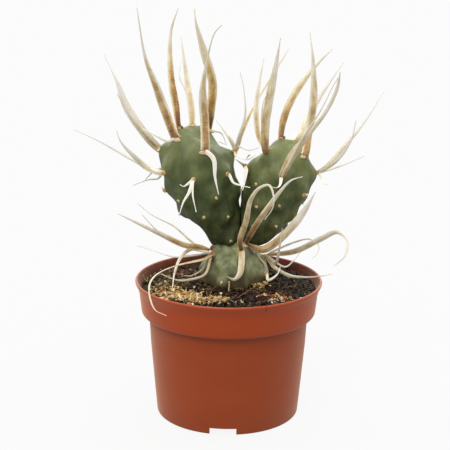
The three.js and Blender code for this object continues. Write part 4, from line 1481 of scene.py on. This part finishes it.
def outline_of(one, kind, share, length, seed):
    """The width of the blade at each row, from the root, 0, to the tip, 1."""
    narrows, thins, thin = one["taper"] or kind["taper"]
    foot_length = FLARED_FOOT if kind["foot"] > 1 else NARROW_FOOT
    outline = one["width"] * (kind["foot"] + (1 - kind["foot"]) * ease(0, foot_length, share))
    outline *= 1 - (1 - thin) * ease(narrows, thins, share)
    outline *= 1 + WAVER * noise_along(share * length, WAVER_STEP, seed + 9)
    outline *= 1 - share**BLUNTNESS
    return np.maximum(outline, TIP_WIDTH)


def tone_of(one, kind, share, side):
    """How dry, golden and dark the paper is at each point of the blade."""
    from_middle = np.abs(side - one["lean"]) / (1 + 0.5 * abs(one["lean"]))
    at_root, at_tip = kind["dry"]
    dry = at_root + (at_tip - at_root) * np.interp(share, DRYING_AT, DRYING)
    dry += kind["margin"] * ease(0.3, 1.0, from_middle) * (1 - 0.6 * dry)
    dark = kind["dark"] * (1 - ease(0.04, 0.2, share)) * (1 - ease(0.5, 1.0, from_middle))
    return np.stack([dry, np.full(len(share), kind["gold"]), dark], 1)


def lay_spine(blank, root, normal, one):
    """A copy of the flat blank, laid from its root in the skin along its route."""
    kind = KINDS[one["kind"]]
    start = root - ROOT_DEPTH * normal
    centre = smooth_line([start, root + ROOT_RISE * normal, *one["route"]], SPINE_ROWS + 1)
    length = np.linalg.norm(np.diff(centre, axis=0), axis=1).sum()
    tangent = unit(np.gradient(centre, axis=0))
    chord = unit(centre[-1] - centre[0])
    facing = (0, 0, 1) if abs(chord[1]) > TOWARDS_VIEWER else (0, -1, 0)
    across = unit(np.cross(tangent, facing))
    through = np.cross(across, tangent)

    share = np.linspace(0, 1, SPINE_ROWS + 1)
    seed = draw.uniform(0, 100)
    most = WIDE_TWIST + (THIN_TWIST - WIDE_TWIST) * float(ease(WIDE, THIN, one["width"]))
    wander = 0.5 * most * noise_along(share * length, TWIST_STEP, seed)
    twist = np.radians(draw.uniform(-most, most) * share + wander)
    swung = across * np.cos(twist)[:, None] + through * np.sin(twist)[:, None]
    outward = np.cross(swung, tangent)

    flat = points_of(blank)
    row = np.rint((flat[:, 1] + 0.5) * SPINE_ROWS).astype(int)
    side = flat[:, 0] * 2
    width = outline_of(one, kind, share, length, seed)[row]
    trough = width * (TROUGH * side**2 - MIDRIB * np.exp(-((side / MIDRIB_WIDTH) ** 2)))
    ripple = RIPPLE * noise_along(share * length, RIPPLE_STEP, seed + 20)[row]
    offset = swung[row] * (side * width / 2)[:, None] + outward[row] * (ripple - trough)[:, None]

    paper = blank.copy()
    paper.data = blank.data.copy()
    bpy.context.collection.objects.link(paper)
    move_points(paper, centre[row] + offset)
    mark(paper, "strip", np.stack([side * width / 2, share[row] * length, np.full(len(row), seed)], 1))
    mark(paper, "tone", tone_of(one, kind, share[row], side))
    return paper


deselect()
bpy.ops.mesh.primitive_grid_add(x_subdivisions=SPINE_COLUMNS, y_subdivisions=SPINE_ROWS, size=MM)
blank = settle("blank")
for name, parts in grown.items():
    papers = [
        lay_spine(blank, place, normal, one)
        for place, normal, its_areole in parts["areoles"]
        for one in its_areole["spines"]
    ]
    print(len(papers), "spines:", end=" ")
    spines = join_as(name + "_spines", papers)
    apply_modifier(spines, "SOLIDIFY", thickness=SPINE_THICKNESS * MM, offset=0)
    bpy.ops.object.shade_smooth_by_angle(angle=math.radians(SPINE_SHARPNESS))
    parts["spines"] = spines
    tell(spines)
bpy.data.objects.remove(blank)

# %% [markdown]
# Dried paper spines are cream to white with fine fibres along them. The big young ones have a brown middle
# crossed by darker bands, which fades upwards, and pale, almost clear margins. The root is dark. All of
# this follows the blade, so the material reads the marks that were laid on it: where a point lies along
# and across the blade in millimetres, and how dry, golden and dark it is there. Dryness then runs through
# one row of colours for brown spines and through another for golden ones.

# %% Paper
DRYING_COLOURS = [
    seen(94, 61, 40), seen(130, 94, 65), seen(160, 124, 86), seen(188, 156, 113), seen(210, 186, 143),
    seen(224, 210, 178), seen(236, 227, 205), seen(244, 238, 224), seen(248, 245, 237),
]
GOLDEN_COLOURS = [
    seen(107, 67, 35), seen(149, 104, 57), seen(179, 134, 74), seen(202, 158, 93), seen(220, 186, 121),
    seen(233, 210, 158), seen(240, 225, 186), seen(245, 234, 206), seen(248, 241, 222),
]
PAPER_OLIVE = seen(160, 150, 98)
PAPER_ROOT = seen(92, 52, 32)
FIBRE_SHADE = (0.8, 0.78, 0.74, 1)
BAND_SHADE = (0.62, 0.55, 0.48, 1)

paper_finish, net, shader = finish_of("papery spine")
strip = net.marked("strip", "Vector")
dry, gold, dark = net.parts(net.marked("tone", "Vector"))
fibres = net.noise(net.scaled(strip, 5.0, 0.14, 1.0), 1.0, detail=4.0, roughness=0.6)
bands = net.noise(net.scaled(strip, 0.22, 1.15, 1.0), 1.0, detail=2.0, roughness=0.5)
blotches = net.noise(net.scaled(strip, 0.45, 0.16, 1.0), 1.0, detail=3.0, roughness=0.55)

dryness = net.sum("ADD", dry, net.span(blotches, 0.2, 0.8, -0.16, 0.16))
colour = net.blend(gold, net.ramp(dryness, DRYING_COLOURS), net.ramp(dryness, GOLDEN_COLOURS))
olive = net.span(net.noise(net.scaled(strip, 0.3, 0.09, 1.7), 1.0), 0.5, 0.72, 0.0, 0.4)
olive = net.sum("MULTIPLY", olive, net.span(dryness, 0.3, 0.9, 1.0, 0.0))
colour = net.blend(olive, colour, PAPER_OLIVE)
colour = net.blend(net.sum("MULTIPLY", dark, 0.8), colour, PAPER_ROOT)
shading = net.blend(net.span(fibres, 0.3, 0.7, 0.0, 0.5), WHITE, FIBRE_SHADE)
colour = net.blend(1.0, colour, shading, "MULTIPLY")
banded = net.sum("MULTIPLY", net.span(bands, 0.46, 0.6), net.span(dryness, 0.2, 0.75, 0.6, 0.04))
relief = net.sum("ADD", fibres, net.sum("MULTIPLY", bands, 0.5))
net.feed(shader.inputs, {
    "Base Color": net.blend(banded, colour, net.blend(1.0, colour, BAND_SHADE, "MULTIPLY")),
    "Roughness": net.span(fibres, 0.2, 0.8, 0.62, 0.8),
    "Normal": net.bump(relief, 0.3, 0.08),
    "Specular IOR Level": 0.35,
})

for name, parts in grown.items():
    spines = parts["spines"]
    wear(spines, paper_finish)
    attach(spines, "root")
    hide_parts(name + "_segment")
print("paper nodes:", len(paper_finish.node_tree.nodes))

# %% [markdown]
# ## Wool
# Each areole is a cushion of short wool with stiff golden hairs, the glochids. A squashed, roughened ball
# is the cushion. The hairs are three-sided bristles that spread from it. Under a wide spine the cushion is
# a pale collar, as wide as the spine's foot and stretched across it, and under an amber spine it has a
# dark red-brown tuft on the right. Around narrow spines it is a golden-brown tuft, and on a bare areole
# a small cream dot. Where an areole gives the half width of its wool, it has a big, loose tuft instead.


# %% Cushions and bristles
def wool_kind(shape, colour, bristles, girth, dark, upright=0.8, solid=1, lowered=0):
    """The look of one kind of cushion.

    "shape" is how far it reaches across, along and out of the skin, as shares of its size. "bristles" is
    how many it has, "girth" how thick they are, "dark" what share of them is dark, and "upright" how
    straight they stand. "solid" is the share of its size that is solid wool, and "lowered" how far it
    sits below its spine's foot, as a share of its own half height.
    """
    return {"shape": shape, "colour": np.array(colour[:3]), "bristles": bristles, "girth": girth,
            "dark": dark, "upright": upright, "solid": solid, "lowered": lowered}


WOOL = {
    "bare": wool_kind((1, 1, 0.62), seen(236, 228, 172), 20, 0.24, dark=0.15, upright=0.3),
    "tuft": wool_kind((1, 1, 0.62), seen(216, 178, 114), 70, 0.18, dark=0.4),
    "big": wool_kind((0.85, 0.75, 0.5), seen(200, 162, 110), 240, 0.2, dark=0.35, solid=0.55),
    "collar": wool_kind((0.64, 0.28, 0.22), seen(238, 216, 178), 50, 0.18, dark=0.25, lowered=0.4),
    "dark": wool_kind((0.46, 0.4, 0.3), seen(214, 168, 116), 50, 0.16, dark=0.6),
}
BARE_SIZE = 0.8
TUFT_SIZE = 1.35
COLLAR_FROM = 3.5  # a spine at least this wide has a collar
DARK_WOOLLED = ("amber", "honey", "dark root")  # these have a dark red-brown tuft on the right
DARK_TUFT = 0.75  # its size, as a share of the cushion's
DARK_SHIFT = 0.6  # how far to the right, as a share of the cushion's half width
BRISTLE_LENGTH = (0.7, 1.7)
BRISTLE_SPREAD = 0.55
LOWEST_AIM = 0.15  # bristles turn up at least this much from the skin
ROOTED_AT = 0.8  # how far out in the cushion bristles start, as a share of its half-axes
ROOTED_HIGH = (0, 0, 1.2)  # and how much more of them start on its top
WOOL_DARK = np.array(seen(118, 62, 36)[:3])
draw = np.random.default_rng(37)

deselect()
bpy.ops.mesh.primitive_ico_sphere_add(subdivisions=3, radius=MM)
bpy.ops.object.mode_set(mode="EDIT")
bpy.ops.transform.vertex_random(offset=0.12 * MM, seed=3)
cushion = settle("cushion")
deselect()
bpy.ops.mesh.primitive_cone_add(
    vertices=3, radius1=0.5 * MM, radius2=0, depth=MM, location=(0, 0, 0.5 * MM)
)
bristle = settle("bristle")
apply_modifier(bristle, "TRIANGULATE")


def cushion_of(normal, one):
    """The kind of an areole's cushion, and its three half-axes as columns: across, along, outwards."""
    widest = max(one["spines"], key=lambda paper: paper["width"], default=None)
    if one["wool"]:
        name, size = "big", one["wool"]
    elif widest and widest["width"] >= COLLAR_FROM:
        name, size = "dark" if widest["kind"] in DARK_WOOLLED else "collar", widest["width"]
    else:
        name, size = ("tuft", TUFT_SIZE) if widest else ("bare", BARE_SIZE)
    across = unit(np.cross((0, 0, 1), normal) if abs(normal[2]) < 0.9 else np.cross(normal, (0, 1, 0)))
    axes = np.stack([across, np.cross(normal, across), normal], axis=1)
    return name, axes * (size * np.array(WOOL[name]["shape"]))


def lay_wool(place, normal, one):
    """The cushions and the bristles of one areole, each as a matrix and a tint."""
    name, axes = cushion_of(normal, one)
    kind = WOOL[name]
    middle = place - kind["lowered"] * axes[:, 1]
    cushions = [(np.column_stack([kind["solid"] * axes, middle]), kind["colour"] * draw.uniform(0.85, 1.1))]
    if name == "dark":
        shift = DARK_SHIFT * np.linalg.norm(axes[:, 0]) * np.array([1, 0, 0])
        cushions.append((np.column_stack([DARK_TUFT * axes, place + shift + 0.5 * axes[:, 2]]), WOOL_DARK))
    bristles = []
    for _ in range(kind["bristles"]):
        aim = unit(normal * kind["upright"] + draw.normal(0, BRISTLE_SPREAD, 3))
        aim = unit(aim + normal * max(0, LOWEST_AIM - aim @ normal))
        length = draw.uniform(*BRISTLE_LENGTH)
        turn = turned_to(aim, draw.uniform(0, 6), (kind["girth"], kind["girth"], length))
        foot = place + axes @ (ROOTED_AT * unit(draw.normal(0, 1, 3) + ROOTED_HIGH))
        tint = WOOL_DARK if draw.random() < kind["dark"] else kind["colour"]
        bristles.append((np.column_stack([turn, foot]), tint * draw.uniform(0.8, 1.25)))
    return cushions, bristles


for name, parts in grown.items():
    cushions, bristles = [], []
    for place, normal, one in parts["areoles"]:
        more_cushions, more_bristles = lay_wool(place, normal, one)
        cushions += more_cushions
        bristles += more_bristles
    wool = join_as(name + "_wool", [
        fuse("cushions", cushion, cushions),
        fuse("bristles", bristle, bristles),
    ])
    parts["wool"] = wool
    tell(wool)
for blank in (cushion, bristle):
    bpy.data.objects.remove(blank)

# %% [markdown]
# Wool scatters light between its hairs, so it has no gloss. A sheen brightens it at its edges, and a fine
# noise stands for hairs that are too thin to model.

# %% Wool's finish
WOOL_SHADE = (0.5, 0.4, 0.3, 1)

wool_finish, net, shader = finish_of("areole wool")
fuzz = net.noise(net.places(), 2200.0, detail=4.0, roughness=0.7)
tint = net.marked("tint", "Color")
darker = net.blend(1.0, tint, WOOL_SHADE, "MULTIPLY")
net.feed(shader.inputs, {
    "Base Color": net.blend(net.span(fuzz, 0.3, 0.58), darker, tint),
    "Roughness": net.span(fuzz, 0.2, 0.8, 0.85, 1.0),
    "Normal": net.bump(fuzz, 0.8, 0.2),
    "Sheen Weight": 0.35,
    "Specular IOR Level": 0.2,
})
for name, parts in grown.items():
    wool = parts["wool"]
    wear(wool, wool_finish)
    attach(wool, "root")
    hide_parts(name + "_segment")
print("wool pieces:", [parts["wool"].name for parts in grown.values()])
